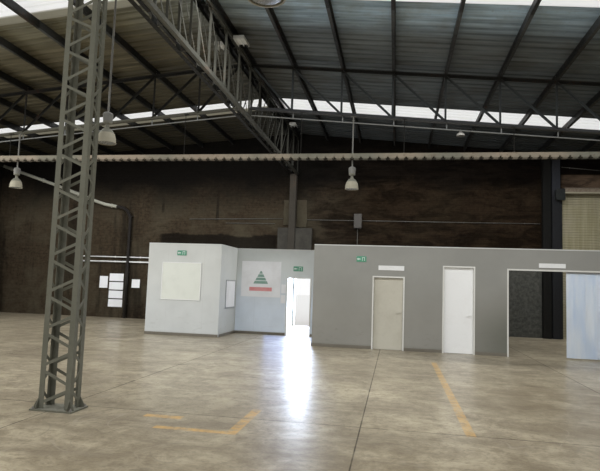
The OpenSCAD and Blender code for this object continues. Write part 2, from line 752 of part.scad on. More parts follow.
// A leaf that is flush with the frame's rear face and swings into the room
module door_leaf(x0, w, h) {
    x_in = x0 + frame_b + leaf_gap;
    leaf_w = w - 2 * frame_b - 2 * leaf_gap;
    foot = leaf_gap + 2;
    handle_x = x_in + leaf_w - 60;
    color(pale) on_floor() union() {
        translate([x_in, rear_y - leaf_t, foot]) cube([leaf_w, leaf_t, h - frame_b - leaf_gap - foot]);
        translate([handle_x, rear_y - leaf_t + fuse, handle_h]) lever(-1);
        translate([handle_x, rear_y - fuse, handle_h]) lever(1);
        on_hinges(x0, h) leaf_hinge();
    }
}
module pale_door() { door_leaf(pale_x0, pale_w, door_h); }
module tall_door() { door_leaf(tall_x0, tall_w, tall_h); }

// Clear plastic strips that overlap, hung in the right half of the wide opening
module strip_curtain() {
    x1 = wide_x0 + wide_w - frame_b;
    n = floor(wide_w / 2 / strip_step);
    top = wide_h - frame_b;
    rail = [n * strip_step, 30, 40];
    foot = 40;
    color([0.70, 0.78, 0.86]) on_floor() union() {
        translate([x1 - rail[0], room_y + 20, top - rail[2]]) cube(rail);
        for (i = [0 : n - 1])
            translate([max(x1 - rail[0], x1 - i * strip_step - strip_w), room_y + 30 + (i % 2) * 5, foot])
                cube([strip_w, 6, top - rail[2] + fuse - foot]);
    }
}

// Curtain of curved slats over a bottom bar, with its edges in the guides
guide_in = 50;       // how far the curtain runs into a guide
curtain_t = 12;
bar_size = [2 * curtain_t, 80];
module roller_shutter() {
    n = round(shutter_h / slat_h);
    slat = [[0.06, 0], [0.2, 0.7], [0.5, 1], [0.8, 0.7], [0.94, 0]];
    face = [for (k = [0 : n - 1], p = slat)
        [-curtain_t * p[1], (k + p[0]) * shutter_h / n]];
    color([0.50, 0.50, 0.42]) on_floor() translate([shutter_x0, back_y - guide_d / 2, 0]) union() {
        translate([-guide_in, -curtain_t / 2, 0]) cube([shutter_w + 2 * guide_in, curtain_t, shutter_h]);
        translate([seat, 0, 0]) rotate([90, 0, 90]) linear_extrude(height = shutter_w - 2 * seat)
            translate([fuse - curtain_t / 2, 0]) polygon(concat([[0, 0]], face, [[0, shutter_h]]));
        translate([seat, -bar_size[0], 0]) cube([shutter_w - 2 * seat, bar_size[0], bar_size[1]]);
    }
}

// Guides, and the hood over the shutter's barrel with a box at each end
module shutter_guides() {
    slot = 2 * curtain_t;
    half = shutter_w / 2;
    hood_half = half - 40;
    x0 = hood_half - fuse;
    x1 = hood_half + gear_w;
    z0 = shutter_h - 1.1 * hood_h;
    z1 = shutter_h + 0.8 * hood_h;
    cut = 60;
    color(dark_steel) on_floor() translate([shutter_x0 + half, back_y, 0]) {
        for (s = [0, 1]) mirror([s, 0, 0]) difference() {
            translate([half, -guide_d, 0]) cube([guide_w, guide_d, shutter_h]);
            translate([half - past, -(guide_d + slot) / 2, -past])
                cube([guide_in + 2 * past, slot, shutter_h + 2 * past]);
        }
        union() {
            for (s = [0, 1]) mirror([s, 0, 0]) upright(-hood_d, hood_d - post_d,
                [[x0, z0], [x1 - cut, z0], [x1, z0 + cut], [x1, z1 - cut], [x1 - cut, z1], [x0, z1]]);
            translate([-hood_half, 0, shutter_h]) rotate([90, 0, 90]) linear_extrude(height = 2 * hood_half)
                polygon([[0, 0], [-hood_d, 0], [-hood_d, hood_h - cut], [cut - hood_d, hood_h], [0, hood_h]]);
        }
    }
}

// Two rolled posts that stiffen the gable, side by side at the shutter's left guide
module gable_post() {
    for (k = [0, 1]) {
        x = shutter_x0 - guide_w - post_w / 2 - k * (post_w + post_gap);
        color(dark_steel) on_floor() translate([x, back_y - post_d, 0])
            linear_extrude(height = roof_z(x + post_w / 2) - purlin_stack) rotate(90) i_profile(post_d, post_w);
    }
}

// Outline of a high bay lamp from its glass up: rim, bell, neck and domed housing,
// as shares of the mouth radius
lamp_line = concat([[0, 0.09], [0.94, 0.09], [0.94, 0], [1.03, 0], [1.03, 0.1]],
    [for (a = [0 : 15 : 75]) [cos(a), 0.12 + 1.6 * sin(a)]],
    [[0.22, 1.72], [0.22, 2.17], [0.47, 2.17], [0.55, 3.05], [0.55, 3.2], [0.45, 3.34], [0.25, 3.45],
     [0, 3.5]]);
lamp_top = 3.4 * lamp_r;        // inside the housing's dome
collar_t = 12;
collar_drop = 110;              // from the top of a lamp's tube down to its collar

module high_bay(top) {
    rotate_extrude($fn = 48) polygon([for (p = lamp_line) p * lamp_r]);
    translate([0, 0, lamp_top]) cylinder(h = top - lamp_top, r = tube_r, $fn = 24);
    translate([0, 0, top - collar_drop]) cylinder(h = collar_t, r = 2 * tube_r, $fn = 24);
}

// Channel across two purlins that carries a lamp between the rafters, open side down
strut_b = 41;
strut_wall = 5;
module lamp_strut(x) {
    run = 1 / cos(roof_a);
    k = max(1, floor(abs(x) / purlin_pitch));
    x0 = min(k * purlin_pitch - purlin_b / 2, abs(x) - 3 * tube_r);
    x1 = (k + 1) * purlin_pitch + purlin_b / 2;
    h = strut_b / 2;
    i = h - strut_wall;
    mirror([x < 0 ? 1 : 0, 0, 0]) on_slope() translate([x0 * run, 0, -purlin_d - 2 * seat])
        rotate([90, 0, 90]) linear_extrude(height = (x1 - x0) * run)
            polygon([[-h, 0], [h, 0], [h, -strut_b], [i, -strut_b], [i, -strut_wall], [-i, -strut_wall],
                     [-i, -strut_b], [-h, -strut_b]]);
}

// Plate under the last rafter that carries a lamp
module lamp_plate(x) {
    w = 80;
    xa = x - w;
    xb = x + w;
    upright(-w / 2, w, [[xa, low_face(xa) - seat - collar_t], [xb, low_face(xb) - seat - collar_t],
        [xb, low_face(xb) - seat], [xa, low_face(xa) - seat]]);
}

first_y = frame_y(bay_count - 1);
row_count = floor((first_y - frame_y(0)) / lamp_step);
module high_bay_lamps() {
    color([0.75, 0.76, 0.74]) on_floor() for (k = [0 : row_count])
        for (x = (k % 2 == 0 ? odd_row : even_row) * half_span)
            translate([0, first_y - k * lamp_step, 0]) union() {
                top = k == 0 ? low_face(x) - seat - collar_t / 2 : roof_z(x) - purlin_stack - strut_wall / 2;
                if (k == 0) lamp_plate(x);
                else lamp_strut(x);
                translate([x, 0, lamp_h]) high_bay(top - lamp_h);
            }
}

lamp_frames = [1 : bay_count - 1];
function conduit_z(x) = low_face(x) - conduit_drop;

// Conduits along the rafters' bottom chords, on clips that reach up to the chords
clip_b = 30;
clip_t = 8;
module lighting_conduits() {
    x0 = girder_half + clip_b;
    x1 = column_face - clip_b;
    color([0.55, 0.55, 0.52]) on_floor() for (i = lamp_frames)
        translate([0, frame_y(i) + conduit_off, 0]) both_sides() union() {
            bar_xz([x0, conduit_z(x0)], [x1, conduit_z(x1)]) circle(r = conduit_r, $fn = 12);
            for (k = [1 : purlin_count - 1]) {
                x = k * purlin_pitch;
                upright(-clip_t / 2, clip_t, [[x, conduit_z(x)], [x + clip_b, conduit_z(x + clip_b)],
                    [x + clip_b, low_face(x + clip_b) - seat], [x, low_face(x) - seat]]);
            }
        }
}

// Hollow rail from column to column, open below and slotted along both faces, hung on rods
// from flat cleats under the last rafter
rail_top = low_face(column_face) - rail_gap;
rail_len = 2 * column_face;
slot_count = round(rail_len / slot_step);
slot_up = 25;                   // from the rail's lower edge to a slot
cleat = [120, 12];
cleat_off = 300;                // from a rafter's post to the nearest cleat
module rail_section() {
    difference() {
        translate([-rail_len / 2, -rail_b / 2, -rail_d]) cube([rail_len, rail_b, rail_d]);
        translate([-rail_len / 2 - past, rail_t - rail_b / 2, -rail_d - past])
            cube([rail_len + 2 * past, rail_b - 2 * rail_t, rail_d + past - rail_t]);
        for (k = [0 : slot_count - 1]) {
            x = (k + 0.5) * rail_len / slot_count - (rail_len + slot_size[0]) / 2;
            translate([x, -rail_b, slot_up - rail_d]) cube([slot_size[0], 2 * rail_b, slot_size[1]]);
        }
    }
}
module services_rail() {
    color([0.72, 0.62, 0.45]) on_floor() translate([0, first_y - rail_off, 0]) union() {
        translate([0, 0, rail_top]) rail_section();
        both_sides() for (k = [1 : 2 : purlin_count - 1]) {
            x = k * purlin_pitch + cleat_off;
            xe = x + cleat[0] / 2;
            xs = x - cleat[0] / 2;
            translate([x, 0, rail_top - rail_t / 2])
                cylinder(h = low_face(x) - seat - rail_top - (cleat[1] - rail_t) / 2, r = rod_r, $fn = 16);
            upright(-2 * rod_r, rail_off - rod_r, [[xs, low_face(xs) - seat], [xe, low_face(xe) - seat],
                [xe, low_face(xe) - cleat[1]], [xs, low_face(xs) - cleat[1]]]);
        }
    }
}

floor_slab();
back_wall_left();
back_wall_middle();
back_wall_right();
back_wall_lintels();
side_wall_left();
side_wall_right();
side_columns_left();
side_columns_right();
ridge_column_front();
ridge_column_middle();
ridge_pier_back();
pier_corbel();
ridge_girder_front();
ridge_girder_back();
rafters_frame_1();
rafters_frame_2();
rafters_frame_3();
rafters_frame_4();
purlins_left();
purlins_right();
roof_sheets_left();
roof_sheets_right();
rooflights_left();
rooflights_right();
ridge_cap();
gutters();
outer_downpipes();
room_front();
store_front();
recess_wall();
partition_returns();
partition_lintels();
room_ceilings();
door_jambs();
door_heads();
pale_door();
tall_door();
strip_curtain();
roller_shutter();
shutter_guides();
gable_post();
high_bay_lamps();
lighting_conduits();
services_rail();
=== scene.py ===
"""A factory hall in whole bays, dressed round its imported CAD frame.

Materials, small fittings, light and camera. Metres, X across the hall, Y towards the back wall, Z up.
The floor's top is at Z = FLOOR.
"""
import math
import random
from functools import reduce

import bmesh
import bpy
from mathutils import Matrix, Vector


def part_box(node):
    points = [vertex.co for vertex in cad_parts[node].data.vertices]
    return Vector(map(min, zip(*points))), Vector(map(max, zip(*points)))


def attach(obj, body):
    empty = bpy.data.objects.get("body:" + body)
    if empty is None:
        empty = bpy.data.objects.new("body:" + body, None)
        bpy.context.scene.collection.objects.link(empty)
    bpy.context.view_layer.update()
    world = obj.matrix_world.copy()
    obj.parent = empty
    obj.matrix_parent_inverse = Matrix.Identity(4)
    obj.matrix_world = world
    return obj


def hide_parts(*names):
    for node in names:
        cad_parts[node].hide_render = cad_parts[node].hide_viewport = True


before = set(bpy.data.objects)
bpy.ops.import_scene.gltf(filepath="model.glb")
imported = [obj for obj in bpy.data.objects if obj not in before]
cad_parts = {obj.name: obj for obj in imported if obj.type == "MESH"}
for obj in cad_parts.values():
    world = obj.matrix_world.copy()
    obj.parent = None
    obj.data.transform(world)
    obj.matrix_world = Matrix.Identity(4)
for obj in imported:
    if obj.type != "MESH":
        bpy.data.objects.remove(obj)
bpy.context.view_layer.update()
random.seed(11)

HALL = "hall"
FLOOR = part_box("floor_slab")[1][2]
BACK_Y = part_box("back_wall_left")[0][1]        # inner face of the back wall
ROOM_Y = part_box("room_front")[0][1]            # faces of the three partition walls
STORE_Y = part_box("store_front")[0][1]
RECESS_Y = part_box("recess_wall")[0][1]
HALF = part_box("side_wall_right")[0][0]         # from the ridge line to a side wall's inner face
PART_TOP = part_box("room_front")[1][2]
BAY = 8.0
FALL = 0.09                                    # fall of the roof for each unit of run
SLOPE = math.atan(FALL)
RIDGE = 8.2                                    # underside of the sheets at the ridge
STRIPS = (-12.0, -4.0, 4.0, 12.0)              # middles of the rooflights
STRIP_W = 1.15
PAINTED_GLOW_END = 10.0                                # past it the painted glow beside the rooflights stops, on the sheets and purlins
PURLIN_STEP = 1.4
RIB_H, SHEET_T, RIB_STEP = 0.030, 0.005, 0.2854
GAP = 0.002                                    # how far a plate stands off what it is fixed to


def roof_z(x):
    """Underside of the roof sheets."""
    return FLOOR + RIDGE - FALL * abs(x)


class Shader:
    """A material with one Principled shader, and short calls for the nodes that feed it."""

    def __init__(self, name, rough=0.6, metal=0.0, spec=0.5):
        self.mat = bpy.data.materials.new(name)
        self.mat.use_nodes = True
        self.tree = self.mat.node_tree
        self.bsdf = self.tree.nodes["Principled BSDF"]
        self.bsdf.inputs["Roughness"].default_value = rough
        self.bsdf.inputs["Metallic"].default_value = metal
        self.bsdf.inputs["Specular IOR Level"].default_value = spec
        self.coord = self.node("TexCoord")
        self.at = self.coord.outputs["Object"]

    def node(self, kind, fed=None, **props):
        """Adds a node and feeds the inputs in fed, by name or place."""
        n = self.tree.nodes.new("ShaderNode" + kind)
        for key, value in props.items():
            setattr(n, key, value)
        for key, value in (fed or {}).items():
            self.feed(n.inputs[key], value)
        return n

    def feed(self, socket, value):
        """Links a socket, or sets its value."""
        if isinstance(value, bpy.types.NodeSocket):
            self.tree.links.new(value, socket)
        elif isinstance(value, (tuple, list)) and len(value) == 3 and socket.type == "RGBA":
            socket.default_value = (*value, 1.0)
        else:
            socket.default_value = value

    def math(self, op, a, b=0.0, clamp=False):
        return self.node("Math", {0: a, 1: b}, operation=op, use_clamp=clamp).outputs[0]

    def times(self, *values):
        return reduce(lambda a, b: self.math("MULTIPLY", a, b), values)

    def most(self, *values):
        return reduce(lambda a, b: self.math("MAXIMUM", a, b), values)

    def split(self, vec=None):
        return self.node("SeparateXYZ", {0: vec or self.at}).outputs[:]

    def join(self, x, y):
        return self.node("CombineXYZ", {0: x, 1: y}).outputs[0]

    def scaled(self, factors, vec=None):
        fed = {0: vec or self.at, 1: factors}
        return self.node("VectorMath", fed, operation="MULTIPLY").outputs[0]

    def noise(self, scale, detail, rough, vec=None, distort=0.0):
        fed = {"Vector": vec or self.at, "Scale": scale, "Detail": detail, "Roughness": rough,
               "Distortion": distort}
        return self.node("TexNoise", fed).outputs["Fac"]

    def streaks(self, factors, detail=4.0, rough=0.6, distort=0.2):
        """Noise drawn out along the axes whose factor is small."""
        return self.noise(1.0, detail, rough, vec=self.scaled(factors), distort=distort)

    def spread(self, value, lo, hi, to_lo=0.0, to_hi=1.0):
        """Maps lo to hi smoothly onto to_lo to to_hi."""
        fed = dict(enumerate((value, lo, hi, to_lo, to_hi)))
        return self.node("MapRange", fed, interpolation_type="SMOOTHSTEP").outputs[0]

    def mix(self, fac, a, b):
        return self.node("Mix", {0: fac, 6: a, 7: b}, data_type="RGBA").outputs[2]

    def layer(self, tone, colour, value, lo, hi, amount=1.0):
        """Lays a colour over a tone as value rises from lo to hi."""
        return self.mix(self.spread(value, lo, hi, 0.0, amount), tone, colour)

    def under(self, value, edge, soft):
        """1 below edge, fading to 0 over soft."""
        return self.spread(value, edge, edge + soft, 1.0, 0.0)

    def shade(self, colour, amount):
        """Multiplies a colour by a grey value."""
        return self.node("VectorMath", {0: colour, 3: amount}, operation="SCALE").outputs[0]

    def mix_value(self, fac, a, b):
        """Blends two numbers."""
        return self.math("ADD", a, self.times(fac, self.math("SUBTRACT", b, a)))

    def tinted(self, colour, tint):
        return self.scaled(tint, colour)

    def near(self, value, middle, half, soft):
        """1 where value is within half of middle, fading over soft."""
        d = self.math("ABSOLUTE", self.math("SUBTRACT", value, middle))
        return self.under(d, half, soft)

    def between(self, value, lo, hi, soft):
        return self.near(value, (lo + hi) / 2, (hi - lo) / 2, soft)

    def repeat(self, value, origin, step):
        """Distance past the last multiple of step, counted from origin."""
        shifted = self.math("ADD", self.math("SUBTRACT", value, origin), 1000 * step)
        return self.math("MODULO", shifted, step)

    def grid(self, value, origin, step, half, soft):
        """1 along lines that repeat every step."""
        return self.near(self.repeat(value, origin - step / 2, step), step / 2, half, soft)

    def facing_up(self):
        return self.split(self.coord.outputs["Normal"])[2]

    def bump(self, height, strength, distance):
        fed = {"Strength": strength, "Distance": distance, "Height": height}
        return self.node("Bump", fed).outputs[0]

    def through(self, share, tint):
        """Mixes light that passes through the sheet with the surface shader."""
        glow = self.node("BsdfTranslucent", {"Color": tint}).outputs[0]
        blend = self.node("MixShader", {0: share, 1: self.bsdf.outputs[0], 2: glow}).outputs[0]
        self.feed(self.tree.nodes["Material Output"].inputs["Surface"], blend)
        return self.mat

    def finish(self, colour, rough=None, normal=None):
        for key, value in (("Base Color", colour), ("Roughness", rough), ("Normal", normal)):
            if value is not None:
                self.feed(self.bsdf.inputs[key], value)
        return self.mat

    def coat(self, tone, grain, lo, hi, strength, distance):
        """Finishes with a roughness from lo to hi and a relief, both from one grain."""
        return self.finish(tone, self.spread(grain, 0.3, 0.7, lo, hi), self.bump(grain, strength, distance))


FLOOR_DARK = (0.312, 0.268, 0.182)
FLOOR_PALE = (0.492, 0.432, 0.302)
FLOOR_STAIN = (0.215, 0.180, 0.125)
FLOOR_GRIT = (0.52, 0.48, 0.40)
FLOOR_SPOT = (0.105, 0.080, 0.048)
# tone of the darker areas of the floor
FLOOR_DARKER = (0.140, 0.108, 0.062)
FLOOR_RUN = (0.165, 0.138, 0.098)
FLOOR_LINE = (0.56, 0.33, 0.085)
FLOOR_CUT = (0.050, 0.043, 0.034)
FLOOR_EDGE = (0.34, 0.32, 0.28)
# inside tones: sooty brick, darkened further by painted shade
BRICK_IN_SOOT_AND_SHADE = ((0.046, 0.032, 0.020), (0.062, 0.047, 0.029), (0.052, 0.044, 0.030))
BRICK_OUT = ((0.235, 0.125, 0.085), (0.34, 0.205, 0.150), (0.30, 0.265, 0.225))
BRICK_SOOT_AND_SHADE = (0.0040, 0.0036, 0.0034)
BRICK_DUST = (0.070, 0.060, 0.040)
BRICK_WORN = ((0.060, 0.050, 0.040), (0.110, 0.092, 0.075))
BRICK_LIME = ((0.055, 0.058, 0.052), (0.120, 0.122, 0.108))
DARK_BAND_TOP = FLOOR + 3.76                         # top of the dark band over the left rooms
BRICK_SHADOW_BANDS = ((-5.87, 5.0, 6.1), (-3.35, 4.7, 5.9))  # painted upright shadows: middle, bottom, top
SHEET_LEFT = ((0.054, 0.048, 0.028), (0.150, 0.132, 0.086))
SHEET_RIGHT = ((0.078, 0.094, 0.104), (0.185, 0.215, 0.235))
SHEET_LAP = (0.34, 0.34, 0.31)
LAMP_Z = FLOOR + 4.37                          # mouths of the high bay lamps
GIRDER_WEB = (FLOOR + 6.56, FLOOR + 7.80)      # between the ridge girder's chords
CHORD_LOW, CHORD_TOP = FLOOR + 6.76, FLOOR + 7.88  # a rafter's chords, less the roof's fall
RAIL_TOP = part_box("services_rail")[0][2] + 0.17
HOOD_X = (10.735, 13.465)
HOOD_Z = FLOOR + 5.60
POST_SPLIT = 10.28

# low, high and foot tones of the partition walls
ROOM_PAINT = ((0.330, 0.325, 0.295), (0.345, 0.348, 0.325), (0.13, 0.122, 0.10))
ROOM_DIM = (0.125, 0.135, 0.110)
# the recess wall's low and foot tones carry painted bluish light; its high tone is its paint
RECESS_PAINT_AND_BLUE_LIGHT = ((0.70, 0.78, 0.88), (0.60, 0.63, 0.62), (0.40, 0.43, 0.46))
STORE_PAINT = ((0.56, 0.58, 0.57), (0.56, 0.575, 0.55), (0.32, 0.315, 0.29))


def floor_paint(s, x, y):
    """Worn orange lines on the floor, each from (x0, y0) to (x1, y1)."""
    lines = ((5.225, 0.25, 5.335, 6.9), (2.44, -0.46, 2.56, 0.80), (1.55, -0.50, 2.56, -0.40),
             (1.20, -0.02, 1.70, 0.11))
    marks = [s.times(s.between(x, x0, x1, 0.012), s.between(y, y0, y1, 0.012)) for x0, y0, x1, y1 in lines]
    wear = s.noise(7.0, 5, 0.75)
    return s.times(s.most(*marks), s.spread(wear, 0.34, 0.62, 0.08, 0.70))


def floor_material():
    """Polished concrete in cast panels, with saw cuts, scuffs, tyre marks and worn lines."""
    s = Shader("polished_concrete", spec=0.5)
    s.bsdf.inputs["Coat Weight"].default_value = 0.40
    s.bsdf.inputs["Coat Roughness"].default_value = 0.25
    x, y, z = s.split()
    cloud = s.noise(0.30, 4, 0.6)
    patch = s.noise(1.5, 7, 0.72, distort=0.5)
    spot = s.noise(5.5, 6, 0.75, distort=0.3)
    grit = s.noise(42, 3, 0.6)
    tone = s.layer(FLOOR_DARK, FLOOR_PALE, cloud, 0.34, 0.66)
    tone = s.layer(tone, FLOOR_STAIN, patch, 0.38, 0.62, 0.74)
    tone = s.layer(tone, FLOOR_SPOT, spot, 0.46, 0.66, 0.50)
    tone = s.layer(tone, FLOOR_SPOT, s.noise(13, 5, 0.7), 0.50, 0.66, 0.50)
    drag = s.streaks((1.3, 10.0, 1.0), 6, 0.75, 0.4)
    tone = s.layer(tone, FLOOR_SPOT, drag, 0.50, 0.68, 0.26)
    tone = s.layer(tone, FLOOR_GRIT, grit, 0.35, 0.75, 0.22)
    # darker towards the near end of the hall and in front of the rooms on the right
    darker_near_end = s.times(s.spread(y, 2.2, -2.5), s.spread(x, 0.3, 3.2, 0.45, 1.0))
    darker_area = s.most(darker_near_end, s.times(s.spread(x, 4.0, 8.0), s.spread(y, 8.5, 2.5)))
    tone = s.mix(s.times(darker_area, s.spread(patch, 0.3, 0.65, 0.42, 0.82)), tone, FLOOR_DARKER)
    # darker towards the left
    tone = s.shade(tone, s.spread(x, -5.5, -1.5, 0.80, 1.0))
    panel, joint_x, joint_y = 4.0, 3.95, 0.27
    column = s.math("FLOOR", s.math("DIVIDE", s.math("SUBTRACT", x, joint_x), panel))
    row = s.math("FLOOR", s.math("DIVIDE", s.math("SUBTRACT", y, joint_y), panel))
    cell = s.node("TexWhiteNoise", {"Vector": s.join(column, row)}, noise_dimensions="2D")
    tone = s.shade(tone, s.spread(cell.outputs["Value"], 0.0, 1.0, 0.93, 1.06))
    run = s.streaks((0.35, 2.4, 1.0), 5, 0.7)
    tone = s.layer(tone, FLOOR_RUN, run, 0.48, 0.70, 0.50)
    arc = s.noise(0.42, 1, 0.4, distort=1.6)
    tyre = s.times(s.near(arc, 0.52, 0.002, 0.004), s.spread(patch, 0.40, 0.62, 0.1, 0.8))
    tone = s.mix(s.times(tyre, 0.22), tone, FLOOR_GRIT)
    skid = s.times(s.near(arc, 0.44, 0.002, 0.004), s.spread(cloud, 0.50, 0.66))
    tone = s.mix(s.times(skid, 0.25), tone, FLOOR_CUT)
    tone = s.mix(floor_paint(s, x, y), tone, FLOOR_LINE)
    cut = s.most(s.grid(x, joint_x, panel, 0.003, 0.009), s.grid(y, joint_y, panel, 0.003, 0.009))
    chip = s.spread(s.noise(3.0, 4, 0.7), 0.3, 0.6, 0.45, 0.95)
    tone = s.mix(s.times(cut, chip), tone, FLOOR_CUT)
    inside = s.times(s.between(x, -HALF, HALF, 0.02), s.math("GREATER_THAN", z, FLOOR - 0.004))
    tone = s.mix(inside, FLOOR_EDGE, tone)
    rough = s.spread(patch, 0.25, 0.75, 0.40, 0.52)
    rough = s.math("ADD", rough, s.times(s.spread(run, 0.5, 0.8), 0.12))
    rough = s.math("ADD", rough, s.times(cut, 0.4), clamp=True)
    wave = s.noise(2.2, 2, 0.5)
    height = s.math("SUBTRACT", s.math("ADD", s.times(wave, 0.35), s.times(grit, 0.03)), cut)
    return s.finish(tone, rough, s.bump(height, 0.35, 0.004))


def brick_material(name, along):
    """Brick inside darkened by soot and painted shade, most towards the top, and, on the gable, a dark band
    over the left rooms and two painted upright shadows; weathered brick outside. along is the wall's
    horizontal axis.
    """
    s = Shader(name, rough=0.9, spec=0.2)
    x, y, z = s.split()
    u = x if along == "x" else y
    fed = {"Vector": s.join(u, z), "Color1": (0.0, 0.0, 0.0), "Color2": (1.0, 1.0, 1.0),
           "Mortar": (0.5, 0.5, 0.5), "Scale": 1.0, "Mortar Size": 0.007, "Mortar Smooth": 0.25,
           "Bias": -0.1, "Brick Width": 0.25, "Row Height": 0.075}
    brick = s.node("TexBrick", fed, offset=0.5)
    pick, mortar = brick.outputs["Color"], brick.outputs["Fac"]
    blotch = s.noise(0.55, 5, 0.65, distort=0.5)
    fine = s.noise(7.0, 5, 0.7)
    run = s.streaks((0.9, 0.9, 0.10), 4, 0.65)

    inner = s.mix(mortar, s.mix(pick, BRICK_IN_SOOT_AND_SHADE[0], BRICK_IN_SOOT_AND_SHADE[1]), BRICK_IN_SOOT_AND_SHADE[2])
    inner = s.layer(inner, BRICK_SOOT_AND_SHADE, fine, 0.3, 0.75, 0.55)
    inner = s.layer(inner, BRICK_DUST, blotch, 0.42, 0.66, 0.70)
    # soot and painted shade darken the inside wall towards the top
    level = s.math("ADD", z, s.times(s.math("SUBTRACT", blotch, 0.5), 2.4))
    soot_and_shade = s.spread(level, 4.5, 6.5, 0.0, 0.96)
    soot_and_shade = s.most(soot_and_shade, s.spread(run, 0.56, 0.68, 0.0, 0.6))
    if along == "x":
        soot_and_shade = s.most(soot_and_shade, s.times(s.spread(x, -1.5, 3.0), 0.74))
        # a dark band over the left rooms, with an uneven top edge
        edge = s.math("ADD", z, s.times(s.math("SUBTRACT", blotch, 0.5), 0.5))
        dark_band = s.times(s.under(edge, DARK_BAND_TOP - 0.05, 0.1), s.between(x, -5.8, -0.75, 0.25))
        soot_and_shade = s.most(soot_and_shade, s.times(dark_band, 0.80))
        worn = s.times(s.between(x, 10.75, 13.6, 0.1), s.between(z, FLOOR + 5.8, FLOOR + 6.36, 0.06))
        soot_and_shade = s.math("MULTIPLY", soot_and_shade, s.math("SUBTRACT", 1.0, worn))
        # painted upright shadows on the gable wall
        for middle, bottom, top in BRICK_SHADOW_BANDS:
            band = s.times(s.near(x, middle, 0.04, 0.06), s.between(z, bottom, top, 0.3))
            soot_and_shade = s.most(soot_and_shade, s.times(band, 0.65))
    inner = s.mix(soot_and_shade, inner, BRICK_SOOT_AND_SHADE)
    if along == "x":
        inner = s.mix(worn, inner, s.layer(*BRICK_WORN, blotch, 0.35, 0.65))
        red = s.times(s.spread(x, 0.5, 3.5), 0.7)
        inner = s.mix(red, inner, s.tinted(inner, (1.08, 0.82, 0.60)))
        mottle = s.spread(s.streaks((0.8, 0.8, 2.8), 5, 0.7, 0.8), 0.38, 0.62, 0.58, 1.45)
        inner = s.shade(inner, s.mix_value(s.spread(x, 0.0, 1.5), 1.0, mottle))
        low = s.times(s.spread(x, 5.5, 7.0), s.spread(z, FLOOR + 2.6, FLOOR + 3.1, 0.8, 0.0))
        inner = s.mix(low, inner, s.layer(*BRICK_LIME, fine, 0.3, 0.7))

    outer = s.mix(mortar, s.mix(pick, BRICK_OUT[0], BRICK_OUT[1]), BRICK_OUT[2])
    outer = s.layer(outer, (0.15, 0.10, 0.075), fine, 0.3, 0.75, 0.35)
    outer = s.shade(outer, s.spread(run, 0.35, 0.7, 0.78, 1.10))
    outer = s.mix(s.spread(z, FLOOR, FLOOR + 0.55, 0.5, 0.0), outer, (0.15, 0.135, 0.11))

    past = s.math("SUBTRACT", *((y, BACK_Y) if along == "x" else (s.math("ABSOLUTE", x), HALF)))
    tone = s.mix(s.math("GREATER_THAN", past, 0.02), inner, outer)
    height = s.math("ADD", s.times(mortar, -1.0), s.times(fine, 0.5))
    return s.finish(tone, s.spread(fine, 0.2, 0.8, 0.82, 0.97), s.bump(height, 0.6, 0.008))


def steel_material(name, base, dust, rust, smoke=None, chords=None, glow=None):
    """Old paint on rolled steel, dusty on top and rusting in patches.

    smoke darkens the ridge girder from y to y, and with it come painted shade on the left of the girder's
    chords and painted highlights on their right edge and on its web; chords gives a rafter's tones (low
    chord left and right, web on the right), and glow is the painted glow beside the rooflights.
    """
    s = Shader(name, spec=0.4)
    wide = s.noise(1.3, 4, 0.6)
    fine = s.noise(16, 5, 0.7)
    tone = s.layer(base, tuple(1.25 * c for c in base), wide, 0.3, 0.7)
    tone = s.layer(tone, dust, s.facing_up(), 0.3, 0.9, 0.65)
    spots = s.spread(s.math("MULTIPLY", wide, fine), 0.30, 0.42)
    tone = s.mix(s.times(spots, rust), tone, (0.15, 0.062, 0.028))
    tone = s.layer(tone, tuple(0.5 * c for c in base), fine, 0.55, 0.8, 0.3)
    x, y, z = s.split()
    if smoke:
        # painted shade on the left of the chords, painted highlights on their right edge and on the web
        web = s.between(z, *GIRDER_WEB, 0.02)
        left = s.spread(x, -0.03, 0.0, 0.10, 1.0)
        painted_highlight = s.spread(x, 0.100, 0.108, 1.0, 1.5)
        tone = s.shade(tone, s.mix_value(web, s.times(left, painted_highlight), 1.45))
        tone = s.shade(tone, s.spread(y, smoke[0], smoke[1], 1.0, 0.30))
    if chords:
        level = s.math("ADD", z, s.times(s.math("ABSOLUTE", x), FALL))
        low = s.under(level, CHORD_LOW, 0.01)
        right = s.math("GREATER_THAN", x, 0.0)
        web = s.times(right, s.under(level, CHORD_TOP, 0.02))
        tone = s.mix(web, tone, chords[2])
        tone = s.mix(low, tone, s.mix(right, chords[0], chords[1]))
    # painted glow on the purlins beside the rooflights
    if glow:
        past = s.repeat(y, STRIPS[0] + STRIP_W / 2, BAY)
        near = s.times(s.under(past, 0.2, 1.2), s.math("LESS_THAN", y, PAINTED_GLOW_END))
        tone = s.mix(s.times(near, 0.55), tone, glow)
    return s.finish(tone, s.spread(fine, 0.3, 0.75, 0.45, 0.73), s.bump(fine, 0.15, 0.002))


